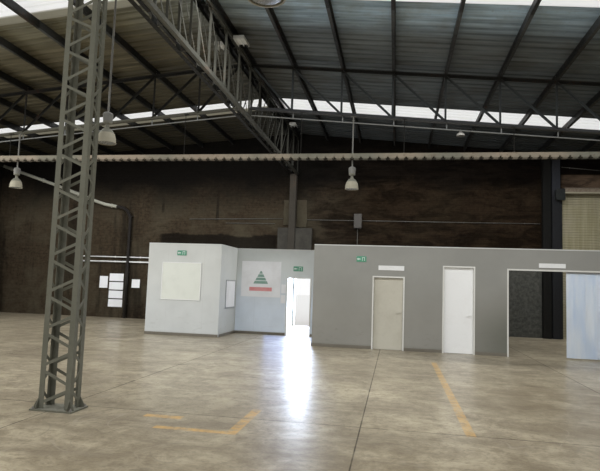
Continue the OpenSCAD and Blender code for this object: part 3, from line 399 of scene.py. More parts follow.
def sheet_material():
    """Ribbed sheets, weathered zinc above and smoke-stained below, with a lap on every third rib and a
    painted glow below beside the rooflights.
    """
    s = Shader("roof_sheet", spec=0.35)
    x, y = s.split()[:2]
    top = s.math("GREATER_THAN", s.facing_up(), 0.0)
    streak = s.streaks((0.35, 5.0, 1.0), 5, 0.65)
    fine = s.noise(11, 4, 0.65)
    cloud = s.noise(0.3, 3, 0.55)
    above = s.layer((0.36, 0.37, 0.37), (0.49, 0.50, 0.50), streak, 0.3, 0.7)
    above = s.layer(above, (0.25, 0.16, 0.10), s.times(streak, fine), 0.30, 0.42, 0.55)
    across = s.math("ABSOLUTE", x)
    above = s.mix(s.times(s.grid(across, 4.75, 4.75, 0.010, 0.02), 0.45), above, (0.13, 0.12, 0.11))
    side = s.spread(s.math("ADD", x, s.times(cloud, 3.0)), -1.0, 4.0)
    dull, pale = [s.mix(side, left, right) for left, right in zip(SHEET_LEFT, SHEET_RIGHT)]
    below = s.layer(dull, pale, streak, 0.3, 0.72)
    below = s.layer(below, (0.03, 0.028, 0.022), fine, 0.55, 0.8, 0.3)
    below = s.layer(below, (0.072, 0.064, 0.048), s.noise(0.9, 4, 0.6), 0.45, 0.70, 0.40)
    sheet_y = s.repeat(y, STRIPS[0] + STRIP_W / 2, BAY)
    lap = s.grid(sheet_y, 0.80 * RIB_STEP, 3 * RIB_STEP, 0.010, 0.014)
    below = s.mix(s.times(lap, s.spread(streak, 0.3, 0.6, 0.15, 0.75)), below, SHEET_LAP)
    # painted bluish glow on the sheets' underside beside the rooflights, weaker on the left
    glow = s.times(s.under(sheet_y, 0.3, 1.55), s.math("LESS_THAN", y, PAINTED_GLOW_END),
                   s.mix_value(side, 0.25, 1.0))
    below = s.mix(glow, below, s.tinted(below, (3.2, 3.7, 4.3)))
    smoke = s.times(s.spread(y, 6.5, 14.0, 1.0, 0.30), s.spread(across, 4.0, 13.0, 1.0, 0.65))
    tone = s.mix(top, s.shade(below, smoke), above)
    return s.finish(tone, s.spread(streak, 0.3, 0.7, 0.45, 0.65), s.bump(fine, 0.1, 0.002))


def rooflight_material():
    """Translucent ribbed sheet that lets the sky's light through, darker along the far edge of each strip
    on the left, on its underside.
    """
    s = Shader("rooflight_sheet", rough=0.35, spec=0.4)
    streak = s.streaks((0.5, 6.0, 1.0))
    x, y = s.split()[:2]
    # a darker band along each strip's far edge, on the left half and facing down only
    edge = s.spread(s.repeat(y, STRIPS[0] - STRIP_W / 2, BAY), STRIP_W - 0.34, STRIP_W - 0.28)
    dirt = s.times(edge, s.math("LESS_THAN", x, 0.0), s.math("LESS_THAN", s.facing_up(), 0.0), 0.85)
    pale = s.layer((0.93, 0.96, 0.96), (0.72, 0.74, 0.66), streak, 0.35, 0.75, 0.35)
    s.finish(s.mix(dirt, pale, (0.20, 0.19, 0.15)))
    clear = s.layer((1.0, 1.0, 1.0), (0.86, 0.88, 0.78), streak, 0.40, 0.80, 0.25)
    return s.through(0.88, s.mix(dirt, clear, (0.36, 0.34, 0.27)))


def partition_material():
    """Matt paint on board, in one tone for each of the three walls, worn towards the foot, with painted
    bluish light low on the recess wall.
    """
    s = Shader("partition_paint", rough=0.62, spec=0.35)
    x, y, z = s.split()
    cloud = s.noise(0.8, 4, 0.6)
    fine = s.noise(24, 3, 0.6)
    up = s.spread(z, FLOOR + 0.6, FLOOR + 2.4)
    in_store = s.math("LESS_THAN", x, -1.105)
    in_recess = s.times(s.math("GREATER_THAN", y, RECESS_Y - 0.2), s.math("LESS_THAN", x, 1.995))
    # the recess wall's low tone includes painted bluish light
    low, high, foot = [s.mix(in_store, s.mix(in_recess, room, recess), store)
                       for room, recess, store in zip(ROOM_PAINT, RECESS_PAINT_AND_BLUE_LIGHT, STORE_PAINT)]
    tone = s.shade(s.mix(up, low, high), s.spread(cloud, 0.32, 0.68, 0.95, 1.05))
    dim = s.times(s.spread(x, 5.6, 7.6), s.under(z, FLOOR + 0.4, 1.6))
    tone = s.mix(s.times(dim, 0.85), tone, ROOM_DIM)
    scuff = s.streaks((3.0, 3.0, 9.0), 5, 0.75, 0.6)
    lower = s.under(z, FLOOR, 1.1)
    tone = s.mix(s.times(s.spread(scuff, 0.55, 0.75), lower, 0.5), tone, foot)
    tone = s.mix(s.spread(z, FLOOR, FLOOR + 0.16, 0.5, 0.0), tone, foot)
    joint = s.most(s.grid(x, 2.0, 1.22, 0.0015, 0.003), s.grid(y, ROOM_Y, 1.22, 0.0015, 0.003))
    tone = s.mix(s.times(joint, 0.3), tone, foot)
    height = s.math("SUBTRACT", s.times(fine, 0.4), joint)
    return s.finish(tone, s.spread(scuff, 0.4, 0.8, 0.52, 0.70), s.bump(height, 0.12, 0.002))


def paint_material(name, base, rough, dirt, amount, scale, metal=0.0, spec=0.5):
    """Plain paint or plastic with a little dirt and uneven gloss."""
    s = Shader(name, rough=rough, metal=metal, spec=spec)
    wide = s.noise(scale * 0.25, 4, 0.6)
    fine = s.noise(scale * 4, 4, 0.65)
    tone = s.layer(base, dirt, wide, 0.42, 0.72, amount)
    tone = s.layer(tone, dirt, fine, 0.5, 0.8, amount * 0.5)
    return s.coat(tone, fine, rough - 0.06, rough + 0.1, 0.08, 0.001)


def lamp_material():
    """Khaki-white bells under grey-green housings, on grey tubes."""
    s = Shader("lamp_metal", rough=0.4, spec=0.5)
    z = s.split()[2]
    fine = s.noise(30, 4, 0.65)
    bell = s.under(z, LAMP_Z + 0.19, 0.02)
    housing = s.under(z, LAMP_Z + 0.42, 0.02)
    tone = s.mix(housing, (0.17, 0.17, 0.16), (0.17, 0.17, 0.14))
    tone = s.mix(bell, tone, (0.33, 0.31, 0.24))
    tone = s.layer(tone, (0.30, 0.26, 0.18), fine, 0.45, 0.75, 0.4)
    return s.coat(tone, fine, 0.32, 0.52, 0.08, 0.001)


def rail_material():
    """Beige-khaki paint, rusting in patches and dusty on top, with painted shade along its lower edge and
    in its slots.
    """
    s = Shader("rail_paint", rough=0.5, spec=0.4)
    x, _, z = s.split()
    fine = s.noise(9, 5, 0.7)
    wide = s.noise(0.5, 3, 0.5)
    tone = s.layer((0.165, 0.160, 0.125), (0.27, 0.225, 0.17), wide, 0.40, 0.62)
    tone = s.layer(tone, (0.33, 0.31, 0.25), s.facing_up(), 0.3, 0.9, 0.6)
    tone = s.layer(tone, (0.10, 0.065, 0.04), fine, 0.54, 0.75, 0.6)
    # painted shade along the rail's lower edge, deepest in its slots
    painted_shade_and_slots = s.times(s.under(z, RAIL_TOP - 0.13, 0.01), s.most(0.45, s.grid(x, 0.0, 0.24, 0.05, 0.02)))
    tone = s.mix(painted_shade_and_slots, tone, (0.020, 0.017, 0.012))
    tone = s.layer(tone, (0.020, 0.019, 0.017), z, RAIL_TOP + 0.01, RAIL_TOP + 0.03)
    return s.coat(tone, fine, 0.45, 0.65, 0.2, 0.002)


def strip_material():
    """Worn clear plastic, bluish and a little milky."""
    s = Shader("strip_plastic", rough=0.22, spec=0.5)
    haze = s.streaks((5.0, 5.0, 0.8))
    tone = s.layer((0.78, 0.86, 0.96), (0.90, 0.94, 0.98), haze, 0.3, 0.7)
    s.finish(tone)
    s.bsdf.inputs["Transmission Weight"].default_value = 0.35
    s.bsdf.inputs["IOR"].default_value = 1.12
    return s.through(0.45, tone)


def render_material():
    """Patched cement render on the blocks beside the pier."""
    s = Shader("patched_render", rough=0.9, spec=0.2)
    wide = s.noise(2.4, 5, 0.65)
    fine = s.noise(30, 4, 0.7)
    tone = s.layer((0.040, 0.038, 0.033), (0.066, 0.062, 0.053), wide, 0.3, 0.7)
    tone = s.layer(tone, (0.02, 0.018, 0.014), fine, 0.4, 0.8, 0.4)
    return s.finish(tone, s.spread(wide, 0.3, 0.7, 0.82, 0.95), s.bump(fine, 0.5, 0.006))


def shutter_material():
    """Olive-khaki shutter paint with streaks of dirt and a dusty line on each slat."""
    s = Shader("shutter_paint", rough=0.55, spec=0.35)
    z = s.split()[2]
    streak = s.streaks((9.0, 1.0, 0.35))
    cloud = s.noise(1.1, 4, 0.6)
    tone = s.layer((0.235, 0.215, 0.130), (0.31, 0.285, 0.190), streak, 0.35, 0.7)
    tone = s.layer(tone, (0.33, 0.30, 0.23), cloud, 0.42, 0.70, 0.4)
    lock = s.grid(z, FLOOR, 0.1, 0.006, 0.016)
    tone = s.mix(s.times(lock, s.spread(cloud, 0.3, 0.7, 0.05, 0.30)), tone, (0.12, 0.108, 0.07))
    return s.coat(tone, streak, 0.48, 0.66, 0.1, 0.002)


def guide_material():
    """Near-black gear boxes, and a khaki hood and guides that take the shutter's paint."""
    s = Shader("guide_paint", rough=0.5, spec=0.4)
    x, _, z = s.split()
    fine = s.noise(14, 5, 0.7)
    hood = s.times(s.between(x, *HOOD_X, 0.004), s.spread(z, HOOD_Z - 0.01, HOOD_Z))
    edge = s.under(z, HOOD_Z + 0.045, 0.015)
    khaki = s.mix(edge, s.layer((0.15, 0.118, 0.085), (0.22, 0.185, 0.140), fine, 0.35, 0.65),
                  (0.30, 0.275, 0.205))
    dark = s.layer((0.014, 0.016, 0.016), (0.028, 0.030, 0.029), fine, 0.35, 0.7)
    tone = s.mix(hood, dark, khaki)
    return s.coat(tone, fine, 0.42, 0.6, 0.15, 0.002)


def post_material():
    """Two posts in painted shade, near-black, the one by the shutter turned bluish grey high up by painted
    light.
    """
    s = Shader("post_paint", rough=0.55, spec=0.4)
    x, _, z = s.split()
    fine = s.noise(14, 5, 0.7)
    # painted light on the post by the shutter, strongest high up; the near-black base is painted shade
    painted_light = s.times(s.math("GREATER_THAN", x, POST_SPLIT), s.spread(z, FLOOR + 5.2, FLOOR + 5.9, 0.35, 1.0))
    tone = s.mix(painted_light, (0.0075, 0.0075, 0.0070), (0.030, 0.032, 0.038))
    tone = s.layer(tone, (0.014, 0.012, 0.010), fine, 0.5, 0.75, 0.4)
    return s.coat(tone, fine, 0.48, 0.66, 0.15, 0.002)


MAT = {
    "floor": floor_material(),
    "brick_x": brick_material("brickwork_gable", "x"),
    "brick_y": brick_material("brickwork_side", "y"),
    "render": render_material(),
    "column": steel_material("column_steel", (0.105, 0.104, 0.080), (0.19, 0.185, 0.15), 0.30),
    "girder": steel_material("girder_steel", (0.060, 0.060, 0.050), (0.20, 0.195, 0.165), 0.35,
                             smoke=(5.0, 12.0)),
    "pier": steel_material("pier_steel", (0.042, 0.037, 0.030), (0.05, 0.045, 0.035), 0.35),
    "dark": steel_material("dark_steel", (0.016, 0.0155, 0.014), (0.060, 0.055, 0.046), 0.4),
    "rafter": steel_material("rafter_steel", (0.012, 0.0120, 0.011), (0.050, 0.047, 0.040), 0.3,
                             chords=((0.105, 0.102, 0.080), (0.050, 0.051, 0.053), (0.044, 0.050, 0.052))),
    "purlin": steel_material("purlin_steel", (0.010, 0.0105, 0.0105), (0.040, 0.037, 0.030), 0.25,
                             glow=(0.10, 0.108, 0.112)),
    "sheet": sheet_material(),
    "light": rooflight_material(),
    "partition": partition_material(),
    "strip": strip_material(),
    "shutter": shutter_material(),
    "guide": guide_material(),
    "post": post_material(),
    "lamp": lamp_material(),
    "rail": rail_material(),
}
# base, roughness, dirt, its share, scale of the noise, then metallic and specular where they aren't plain
PAINTS = {
    "rain": ((0.20, 0.205, 0.205), 0.45, (0.11, 0.08, 0.06), 0.35, 4),
    "ceiling": ((0.50, 0.49, 0.46), 0.85, (0.30, 0.27, 0.22), 0.4, 3),
    "pale": ((0.52, 0.50, 0.42), 0.42, (0.28, 0.25, 0.19), 0.22, 5),
    "bright": ((0.86, 0.87, 0.86), 0.35, (0.55, 0.53, 0.48), 0.15, 5),
    "conduit": ((0.115, 0.112, 0.100), 0.5, (0.06, 0.05, 0.04), 0.3, 5),
    "strut": ((0.26, 0.27, 0.265), 0.4, (0.14, 0.13, 0.11), 0.3, 5, 0.3),
    "jamb": ((0.70, 0.70, 0.66), 0.42, (0.40, 0.37, 0.31), 0.22, 5),
    "duct": ((0.42, 0.42, 0.35), 0.5, (0.14, 0.13, 0.10), 0.4, 3),
    "white": ((0.80, 0.81, 0.80), 0.30, (0.50, 0.48, 0.43), 0.15, 6),
    "paper": ((0.82, 0.83, 0.85), 0.8, (0.45, 0.44, 0.42), 0.2, 8),
    "chart": ((0.70, 0.725, 0.66), 0.7, (0.50, 0.52, 0.46), 0.25, 8),
    "green": ((0.085, 0.30, 0.19), 0.4, (0.20, 0.34, 0.27), 0.4, 9),
    "poster_green": ((0.20, 0.34, 0.28), 0.6, (0.4, 0.5, 0.45), 0.3, 20),
    "poster_red": ((0.70, 0.27, 0.27), 0.6, (0.7, 0.5, 0.5), 0.3, 20),
    "alu": ((0.42, 0.43, 0.44), 0.32, (0.2, 0.2, 0.2), 0.2, 9, 0.6),
    "black": ((0.018, 0.016, 0.015), 0.4, (0.05, 0.045, 0.04), 0.3, 7),
    "meter": ((0.085, 0.080, 0.074), 0.5, (0.05, 0.04, 0.03), 0.4, 7),
    "patch": ((0.062, 0.054, 0.037), 0.9, (0.040, 0.026, 0.017), 0.6, 3, 0.0, 0.2),
    "zinc": ((0.30, 0.29, 0.27), 0.45, (0.14, 0.08, 0.05), 0.4, 30, 0.5),
    "skirt": ((0.17, 0.155, 0.125), 0.5, (0.09, 0.08, 0.06), 0.4, 6),
    "trim": ((0.62, 0.63, 0.61), 0.4, (0.40, 0.38, 0.33), 0.3, 6),
    "glass": ((0.20, 0.21, 0.21), 0.25, (0.30, 0.31, 0.31), 0.4, 15, 0.0, 0.6),
}
MAT.update({key: paint_material(key, *values) for key, values in PAINTS.items()})

NODE_MATS = {
    "floor": "floor_slab",
    "brick_x": "back_wall_left back_wall_middle back_wall_right back_wall_lintels",
    "brick_y": "side_wall_left side_wall_right",
    "column": "ridge_column_front ridge_column_middle",
    "girder": "ridge_girder_front ridge_girder_back",
    "pier": "ridge_pier_back",
    "render": "pier_corbel",
    "dark": "side_columns_left side_columns_right",
    "rafter": "rafters_frame_1 rafters_frame_2 rafters_frame_3 rafters_frame_4",
    "purlin": "purlins_left purlins_right",
    "sheet": "roof_sheets_left roof_sheets_right ridge_cap",
    "light": "rooflights_left rooflights_right",
    "rain": "gutters outer_downpipes",
    "partition": "room_front store_front recess_wall partition_returns partition_lintels",
    "ceiling": "room_ceilings",
    "pale": "pale_door",
    "jamb": "door_jambs door_heads",
    "bright": "tall_door",
    "shutter": "roller_shutter",
    "guide": "shutter_guides",
    "post": "gable_post",
    "lamp": "high_bay_lamps",
    "strut": "lighting_conduits",
    "rail": "services_rail",
    "strip": "strip_curtain",
}
for key, names in NODE_MATS.items():
    for name in names.split():
        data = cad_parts[name].data
        data.materials.clear()
        data.materials.append(MAT[key])


class Build:
    """Collects boxes, plates, tubes and sheets in one mesh, then makes one piece of it."""

    def __init__(self):
        self.bm = bmesh.new()
        self.layer = 0

    def box(self, lo, hi, bevel=0.0, place=None):
        made = bmesh.ops.create_cube(self.bm, size=1.0)["verts"]
        lo, hi = Vector(lo), Vector(hi)
        bmesh.ops.scale(self.bm, vec=hi - lo, verts=made)
        bmesh.ops.translate(self.bm, vec=(lo + hi) / 2, verts=made)
        if place is not None:
            bmesh.ops.transform(self.bm, matrix=place, verts=made)
        for f in {f for v in made for f in v.link_faces}:
            f.material_index = self.layer
        if bevel:
            edges = list({e for v in made for e in v.link_edges})
            bmesh.ops.bevel(self.bm, geom=edges, offset=bevel, segments=2, affect="EDGES", profile=0.6,
                            clamp_overlap=True, material=-1)

    def face(self, verts, smooth=False):
        f = self.bm.faces.new(verts)
        f.material_index = self.layer
        f.smooth = smooth

    def rings(self, rings, smooth=True):
        """Joins rings of points into a closed body."""
        made = [[self.bm.verts.new(p) for p in ring] for ring in rings]
        n = len(made[0])
        for a, b in zip(made, made[1:]):
            for k in range(n):
                self.face((a[k], a[(k + 1) % n], b[(k + 1) % n], b[k]), smooth)
        self.face(list(reversed(made[0])))
        self.face(made[-1])

    def tube(self, points, radius, sides=12):
        """A round bar along points."""
        pts = [Vector(p) for p in points]
        rings = []
        side = None
        for i, p in enumerate(pts):
            d = (pts[min(i + 1, len(pts) - 1)] - pts[max(i - 1, 0)]).normalized()
            side = d.orthogonal() if side is None else side - d * side.dot(d)
            side.normalize()
            rings.append([p + radius * (math.cos(a) * side + math.sin(a) * d.cross(side))
                          for a in (2 * math.pi * k / sides for k in range(sides))])
        self.rings(rings)

    def lathe(self, at, axis, profile, sides, smooth=True):
        """A body turned about axis, from (radius, height) points that start at."""
        axis = Vector(axis).normalized()
        side = axis.orthogonal().normalized()
        other = axis.cross(side)
        at = Vector(at)
        self.rings([[at + axis * h + r * (math.cos(a) * side + math.sin(a) * other)
                     for a in (2 * math.pi * k / sides for k in range(sides))]
                    for r, h in profile], smooth)

    def bolt(self, at, axis, radius, height, sides=6):
        """A hexagon head with a chamfered top, standing on a surface whose normal is axis."""
        profile = ((radius, 0.0), (radius, 0.85 * height), (0.8 * radius, height))
        self.lathe(at, axis, profile, sides, False)

    def flat(self, points, out, thick):
        """A flat outline with its face towards out, thick behind it."""
        back = Vector(out) * -thick
        front = [Vector(p) for p in points]
        self.rings([[p + back for p in front], front], False)

    def done(self, name, mats):
        """Makes the piece, on the hall's body."""
        bmesh.ops.recalc_face_normals(self.bm, faces=self.bm.faces[:])
        mesh = bpy.data.meshes.new(name)
        self.bm.to_mesh(mesh)
        self.bm.free()
        for m in mats:
            mesh.materials.append(MAT[m])
        piece = bpy.data.objects.new(name, mesh)
        bpy.context.scene.collection.objects.link(piece)
        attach(piece, HALL)
        return piece


def wall_plate(b, x0, x1, z0, z1, y, thick, bevel=0.004):
    """A plate on a wall that faces -Y, with its heights above the floor."""
    b.box((x0, y - GAP - thick, FLOOR + z0), (x1, y - GAP, FLOOR + z1), bevel)


def frame_bars(a0, a1, z0, z1, width):
    """The four bars of a frame, each as (a0, a1, z0, z1)."""
    return ((a0, a1, z1 - width, z1), (a0, a1, z0, z0 + width),
            (a0, a0 + width, z0 + width, z1 - width), (a1 - width, a1, z0 + width, z1 - width))


def saddle(b, x, z, half_w, half_h, deep, bevel=0.003):
    """A clip that holds a pipe or conduit to the back wall."""
    wall_plate(b, x - half_w, x + half_w, z - half_h, z + half_h, BACK_Y, deep - GAP, bevel)


def exit_sign(name, x, z, y, w, h):
    """A green plate with a plain white arrow and a doorway outline."""
    b = Build()
    thick, line = 0.012, 0.012
    wall_plate(b, x - w / 2, x + w / 2, z - h / 2, z + h / 2, y, thick, 0.003)
    face = y - GAP - thick
    b.layer = 1
    print_y = face - 0.0015
    cz = FLOOR + z
    far, top = 0.34 * w, 0.32 * h

    def bar(x0, x1, z0, z1):
        b.box((x + x0, print_y, cz + z0), (x + x1, face + 0.001, cz + z1), 0.0004)

    bar(-far, -0.1 * w, -line, line)
    tip = ((-0.10 * w, 0.0), (0.03 * w, 0.22 * h), (0.03 * w, -0.22 * h))
    b.flat([(x - far + dx, print_y, cz + dz) for dx, dz in tip], (0, -1, 0), 0.001)
    bar(0.08 * w, 0.08 * w + line, -top, top)
    bar(far - line, far, -top, top)
    bar(0.08 * w, far, top - line, top)
    for side in (-1, 1):
        b.bolt((x + side * (w / 2 - line), face, cz + h / 2 - line), (0, -1, 0), 0.004, 0.002, 8)
    b.done(name, ["green", "white"])


def name_plates():
    b = Build()
    thick, inset = 0.010, 0.025
    for x0, x1, z0, z1 in ((3.86, 4.58, 2.23, 2.36), (8.17, 8.85, 2.42, 2.54)):
        wall_plate(b, x0, x1, z0, z1, ROOM_Y, thick, 0.003)
        for x in (x0 + inset, x1 - inset):
            b.bolt((x, ROOM_Y - GAP - thick, FLOOR + (z0 + z1) / 2), (0, -1, 0), 0.005, 0.003, 8)
    b.done("name_plates", ["white"])


def wall_board():
    """A chart board in a slim white frame."""
    b = Build()
    x0, x1, z0, z1 = -3.06, -1.76, 1.13, 2.31
    wall_plate(b, x0, x1, z0, z1, STORE_Y, 0.014, 0.002)
    b.layer = 1
    for bar in frame_bars(x0 - 0.01, x1 + 0.01, z0 - 0.01, z1 + 0.01, 0.022):
        wall_plate(b, *bar, STORE_Y, 0.020)
    b.done("wall_board", ["chart", "white"])


def recess_poster():
    """A paper poster with a plain stack of bands that narrows upwards, over one wide band."""
    b = Build()
    thick, print_t = 0.006, 0.0004
    wall_plate(b, -0.93, 0.46, 1.27, 2.49, RECESS_Y, thick, 0.002)
    face = RECESS_Y - GAP - thick - 0.0006
    middle, base, step, bands = -0.24, FLOOR + 1.72, 0.115, 4

    def band(half_low, half_high, z0, z1):
        outline = ((-half_low, z0), (half_low, z0), (half_high, z1), (-half_high, z1))
        b.flat([(middle + dx, face, z) for dx, z in outline], (0, -1, 0), print_t)

    b.layer = 1
    for k in range(bands):
        low = 0.26 * (1 - k / bands)
        band(low, low - 0.045, base + k * step, base + k * step + 0.095)
    b.layer = 2
    band(0.40, 0.40, FLOOR + 1.47, FLOOR + 1.60)
    b.done("recess_poster", ["paper", "poster_green", "poster_red"])


def paper_notices():
    """Sheets of paper taped to the walls, with their lower edges curling a little."""
    b = Build()
    n, curl, thick = 6, 0.004, 0.0006
    spots = [(0.49, 0.65, 1.42, 1.72, RECESS_Y), (0.48, 0.64, 1.08, 1.36, RECESS_Y),
             (-8.69, -8.30, 1.29, 1.81, BACK_Y), (-7.15, -6.77, 1.34, 1.71, BACK_Y)]
    spots += [(-8.22, -7.55, z, z + 0.33, BACK_Y) for z in (0.47, 0.85, 1.23, 1.61)]
    for x0, x1, z0, z1, y in spots:
        for side in (0.0, thick):
            back = y - GAP - side
            grid = [[b.bm.verts.new((x0 + (x1 - x0) * i / n,
                                     back - curl * (1 - math.cos(3.0 * j / n)) * (1 + 0.5 * math.sin(i)),
                                     FLOOR + z1 - (z1 - z0) * j / n))
                     for i in range(n + 1)] for j in range(n + 1)]
            for j in range(n):
                for i in range(n):
                    b.face((grid[j][i], grid[j + 1][i], grid[j + 1][i + 1], grid[j][i + 1]), True)
    b.done("paper_notices", ["paper"])


def side_notice_frame():
    """A framed sheet on the left room's side face, which looks across the recess."""
    b = Build()
    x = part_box("store_front")[1][0]
    y0, y1, z0, z1, bar = 10.55, 11.60, FLOOR + 0.88, FLOOR + 1.81, 0.035
    b.box((x + GAP, y0 + bar, z0 + bar), (x + 0.014, y1 - bar, z1 - bar), 0.002)
    b.layer = 1
    for a0, a1, c0, c1 in frame_bars(y0, y1, z0, z1, bar):
        b.box((x + GAP, a0, c0), (x + 0.024, a1, c1), 0.004)
    b.done("side_notice_frame", ["paper", "alu"])


def strip_curtain():
    """Overlapping plastic strips with a curl across their width, on a rail with clamp bolts."""
    lo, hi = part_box("strip_curtain")
    b = Build()
    rail_h, rail_d, strip_w, step, n_arc, rows_n = 0.040, 0.030, 0.30, 0.24, 7, 14
    b.layer = 1
    b.box((lo[0], lo[1], hi[2] - rail_h), (hi[0], lo[1] + rail_d, hi[2]), 0.004)
    for i in range(int(round((hi[0] - lo[0]) / step))):
        x1 = hi[0] - i * step
        x0 = max(lo[0], x1 - strip_w)
        y = lo[1] + 0.012 + (i % 2) * 0.008
        curl = random.uniform(0.002, 0.005)
        rows = []
        for j in range(rows_n + 1):
            t = j / rows_n
            z = hi[2] - 0.01 - (hi[2] - lo[2] - 0.01) * t
            swing = 0.004 * math.sin(2.2 * t + i) * t
            rows.append([(x0 + (x1 - x0) * k, y + swing + curl * 4 * k * (1 - k), z)
                         for k in (i_arc / n_arc for i_arc in range(n_arc + 1))])
        b.layer = 0
        for side in (0.0, 0.0025):
            grid = [[b.bm.verts.new((px, py + side, pz)) for px, py, pz in row] for row in rows]
            for a, c in zip(grid, grid[1:]):
                for k in range(n_arc):
                    b.face((a[k], a[k + 1], c[k + 1], c[k]), True)
        b.layer = 1
        for bx in (x1 - 0.06, x1 - 0.2):
            if bx > lo[0] + 0.02:
                b.bolt((bx, lo[1] + 0.001, hi[2] - rail_h / 2), (0, -1, 0), 0.007, 0.002)
    piece = b.done("curtain_strips", ["strip", "alu"])
    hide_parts("strip_curtain")


def wall_conduits():
    """Conduits on clips across the gable wall, with a meter box and a drop below it."""
    b = Build()
    radius, y = 0.014, BACK_Y - 0.03
    clip = (0.012, 0.022, 0.045)
    runs = (((-4.6, 4.43), (-0.42, 4.50)), ((0.62, 4.47), (9.9, 4.44)), ((-2.94, 4.28), (-0.76, 4.29)))
    for (xa, za), (xb, zb) in runs:
        b.tube([(xa, y, FLOOR + za), (xb, y, FLOOR + zb)], radius, 8)
        count = max(2, round((xb - xa) / 1.2))
        for k in range(count):
            t = (k + 0.5) / count
            saddle(b, xa + t * (xb - xa), za + t * (zb - za), *clip)
    b.tube([(2.75, y, FLOOR + 4.20), (2.75, y, FLOOR + 2.76)], radius, 8)
    b.tube([(10.70, y, FLOOR + 6.70), (12.1, y, FLOOR + 6.56)], radius, 8)
    for x, z in ((11.0, 6.670), (12.0, 6.570)):
        saddle(b, x, z, *clip)
    b.layer = 1
    x0, x1, z0, z1, front = 2.60, 2.92, FLOOR + 4.14, FLOOR + 4.73, BACK_Y - 0.20
    b.box((x0, front, z0), (x1, BACK_Y - GAP, z1), 0.012)
    lids = ((0.025, z0 + 0.16, z1 - 0.025, 0.008), (0.020, z0 + 0.02, z0 + 0.13, 0.012))
    for inset, low, high, proud in lids:
        b.box((x0 + inset, front - proud, low), (x1 - inset, front + 0.004, high), 0.006)
    b.done("wall_conduits", ["conduit", "meter"])


def pier_patches():
    """Uneven patches of render on the wall, on both sides of the pier above its blocks."""
    b = Build()
    proud, n = 0.025, 9
    for x0, x1, z0, z1 in ((-0.42, -0.145, 4.24, 5.31), (0.145, 0.62, 4.14, 5.31)):
        outline = [(x0 + random.uniform(0.0, 0.03), z0 + (z1 - z0) * k / n) for k in range(n + 1)]
        outline += [(x1 - random.uniform(0.0, 0.04), z1 - (z1 - z0) * k / n) for k in range(n + 1)]
        b.flat([(x, BACK_Y - proud, FLOOR + z) for x, z in outline], (0, -1, 0), proud - GAP)
    b.done("pier_patches", ["patch"])


def wall_pipe():
    """A black downpipe with a white pipe falling to its bend, and two white pipes along the gable wall."""
    b = Build()
    x, y, radius, bend = -7.36, BACK_Y - 0.095, 0.065, 0.60
    turn = [(x - bend * (1 - math.cos(a)), y, FLOOR + 4.32 + bend * math.sin(a))
            for a in (math.pi / 2 * k / 8 for k in range(9))]
    b.tube([(x, y, FLOOR), (x, y, FLOOR + 2.2)] + turn + [(-8.05, y, FLOOR + 4.93)], radius, 14)
    for z in (0.6, 2.0, 3.4, 4.5):
        saddle(b, x, z + 0.0175, 0.085, 0.0175, 0.10, 0.004)
    b.layer = 1
    run = [(-8.04, 4.93), (-8.60, 5.03), (-8.95, 5.13), (-11.13, 5.90), (-HALF + 0.01, 6.83)]
    b.tube([(px, y, FLOOR + pz) for px, pz in run], 0.072, 14)
    for px, pz in ((-8.3, 4.975), (-10.0, 5.50), (-11.8, 6.12), (-13.5, 6.67)):
        saddle(b, px, pz, 0.018, 0.09, 0.12, 0.004)
    b.layer = 2
    for z, radius in ((2.47, 0.032), (2.68, 0.024)):
        b.tube([(-9.6, BACK_Y - 0.05, FLOOR + z), (-3.565, BACK_Y - 0.05, FLOOR + z)], radius, 10)
        for px in (-9.4, -8.0, -6.8, -5.4, -4.0):
            saddle(b, px, z, 0.012, 0.04, 0.055)
    b.done("wall_pipe", ["black", "duct", "white"])


def partition_caps():
    """Slim pale edge trims along the tops of the partition walls."""
    b = Build()
    lip, t, top = 0.026, 0.005, PART_TOP - 0.001
    for y, x0, x1 in ((ROOM_Y, 2.0, HALF), (STORE_Y, -3.56, -1.11), (RECESS_Y, -1.10, 1.99)):
        b.box((x0 + 0.001, y - t, top - lip), (x1 - 0.001, y - 0.0005, top), 0.001)
    b.box((-1.1095, STORE_Y + 0.001, top - lip), (-1.11 + t, RECESS_Y - t, top), 0.001)
    b.done("partition_caps", ["trim"])


def skirtings():
    b = Build()
    h, t = 0.085, 0.012
    spans = ((ROOM_Y, ((2.0, 3.70), (4.60, 5.64), (6.51, 7.35), (10.35, HALF))),
             (STORE_Y, ((-3.56, -1.11),)), (RECESS_Y, ((-1.11 + t, 0.67), (1.53, 2.0 - t))))
    for y, runs in spans:
        for x0, x1 in runs:
            b.box((x0 + 0.001, y - t, FLOOR), (x1 - 0.001, y - 0.0005, FLOOR + h), 0.003)
    b.box((-1.1095, STORE_Y + 0.08, FLOOR), (-1.11 + t, RECESS_Y - t, FLOOR + h), 0.003)
    b.box((2.0 - t, ROOM_Y - t, FLOOR), (1.9995, RECESS_Y - t, FLOOR + h), 0.003)
    b.done("skirtings", ["skirt"])


def exit_lining():
    """A painted lining round the exit doorway in the gable wall, and a cover strip on the pier's edge."""
    b = Build()
    x0, x1, high, wide = 0.151, 1.499, FLOOR + 2.199, 0.038
    y0, y1 = BACK_Y - 0.012, BACK_Y + 0.300
    for a0, a1, c0, c1 in ((x0, x0 + wide, FLOOR + 0.001, high), (x1 - wide, x1, FLOOR + 0.001, high),
                           (x0 + wide, x1 - wide, high - wide, high)):
        b.box((a0, y0, c0), (a1, y1, c1), 0.004)
    pier_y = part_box("ridge_pier_back")[0][1]
    b.box((0.101, pier_y - 0.014, FLOOR + 0.001), (0.152, pier_y - 0.001, high + 0.3), 0.003)
    b.done("exit_lining", ["jamb"])


def thresholds():
    b = Build()
    b.box((0.190, BACK_Y + 0.02, FLOOR), (1.460, BACK_Y + 0.29, FLOOR + 0.018), 0.006)
    b.box((0.712, RECESS_Y + 0.005, FLOOR), (1.488, RECESS_Y + 0.075, FLOOR + 0.008), 0.003)
    b.done("thresholds", ["alu"])


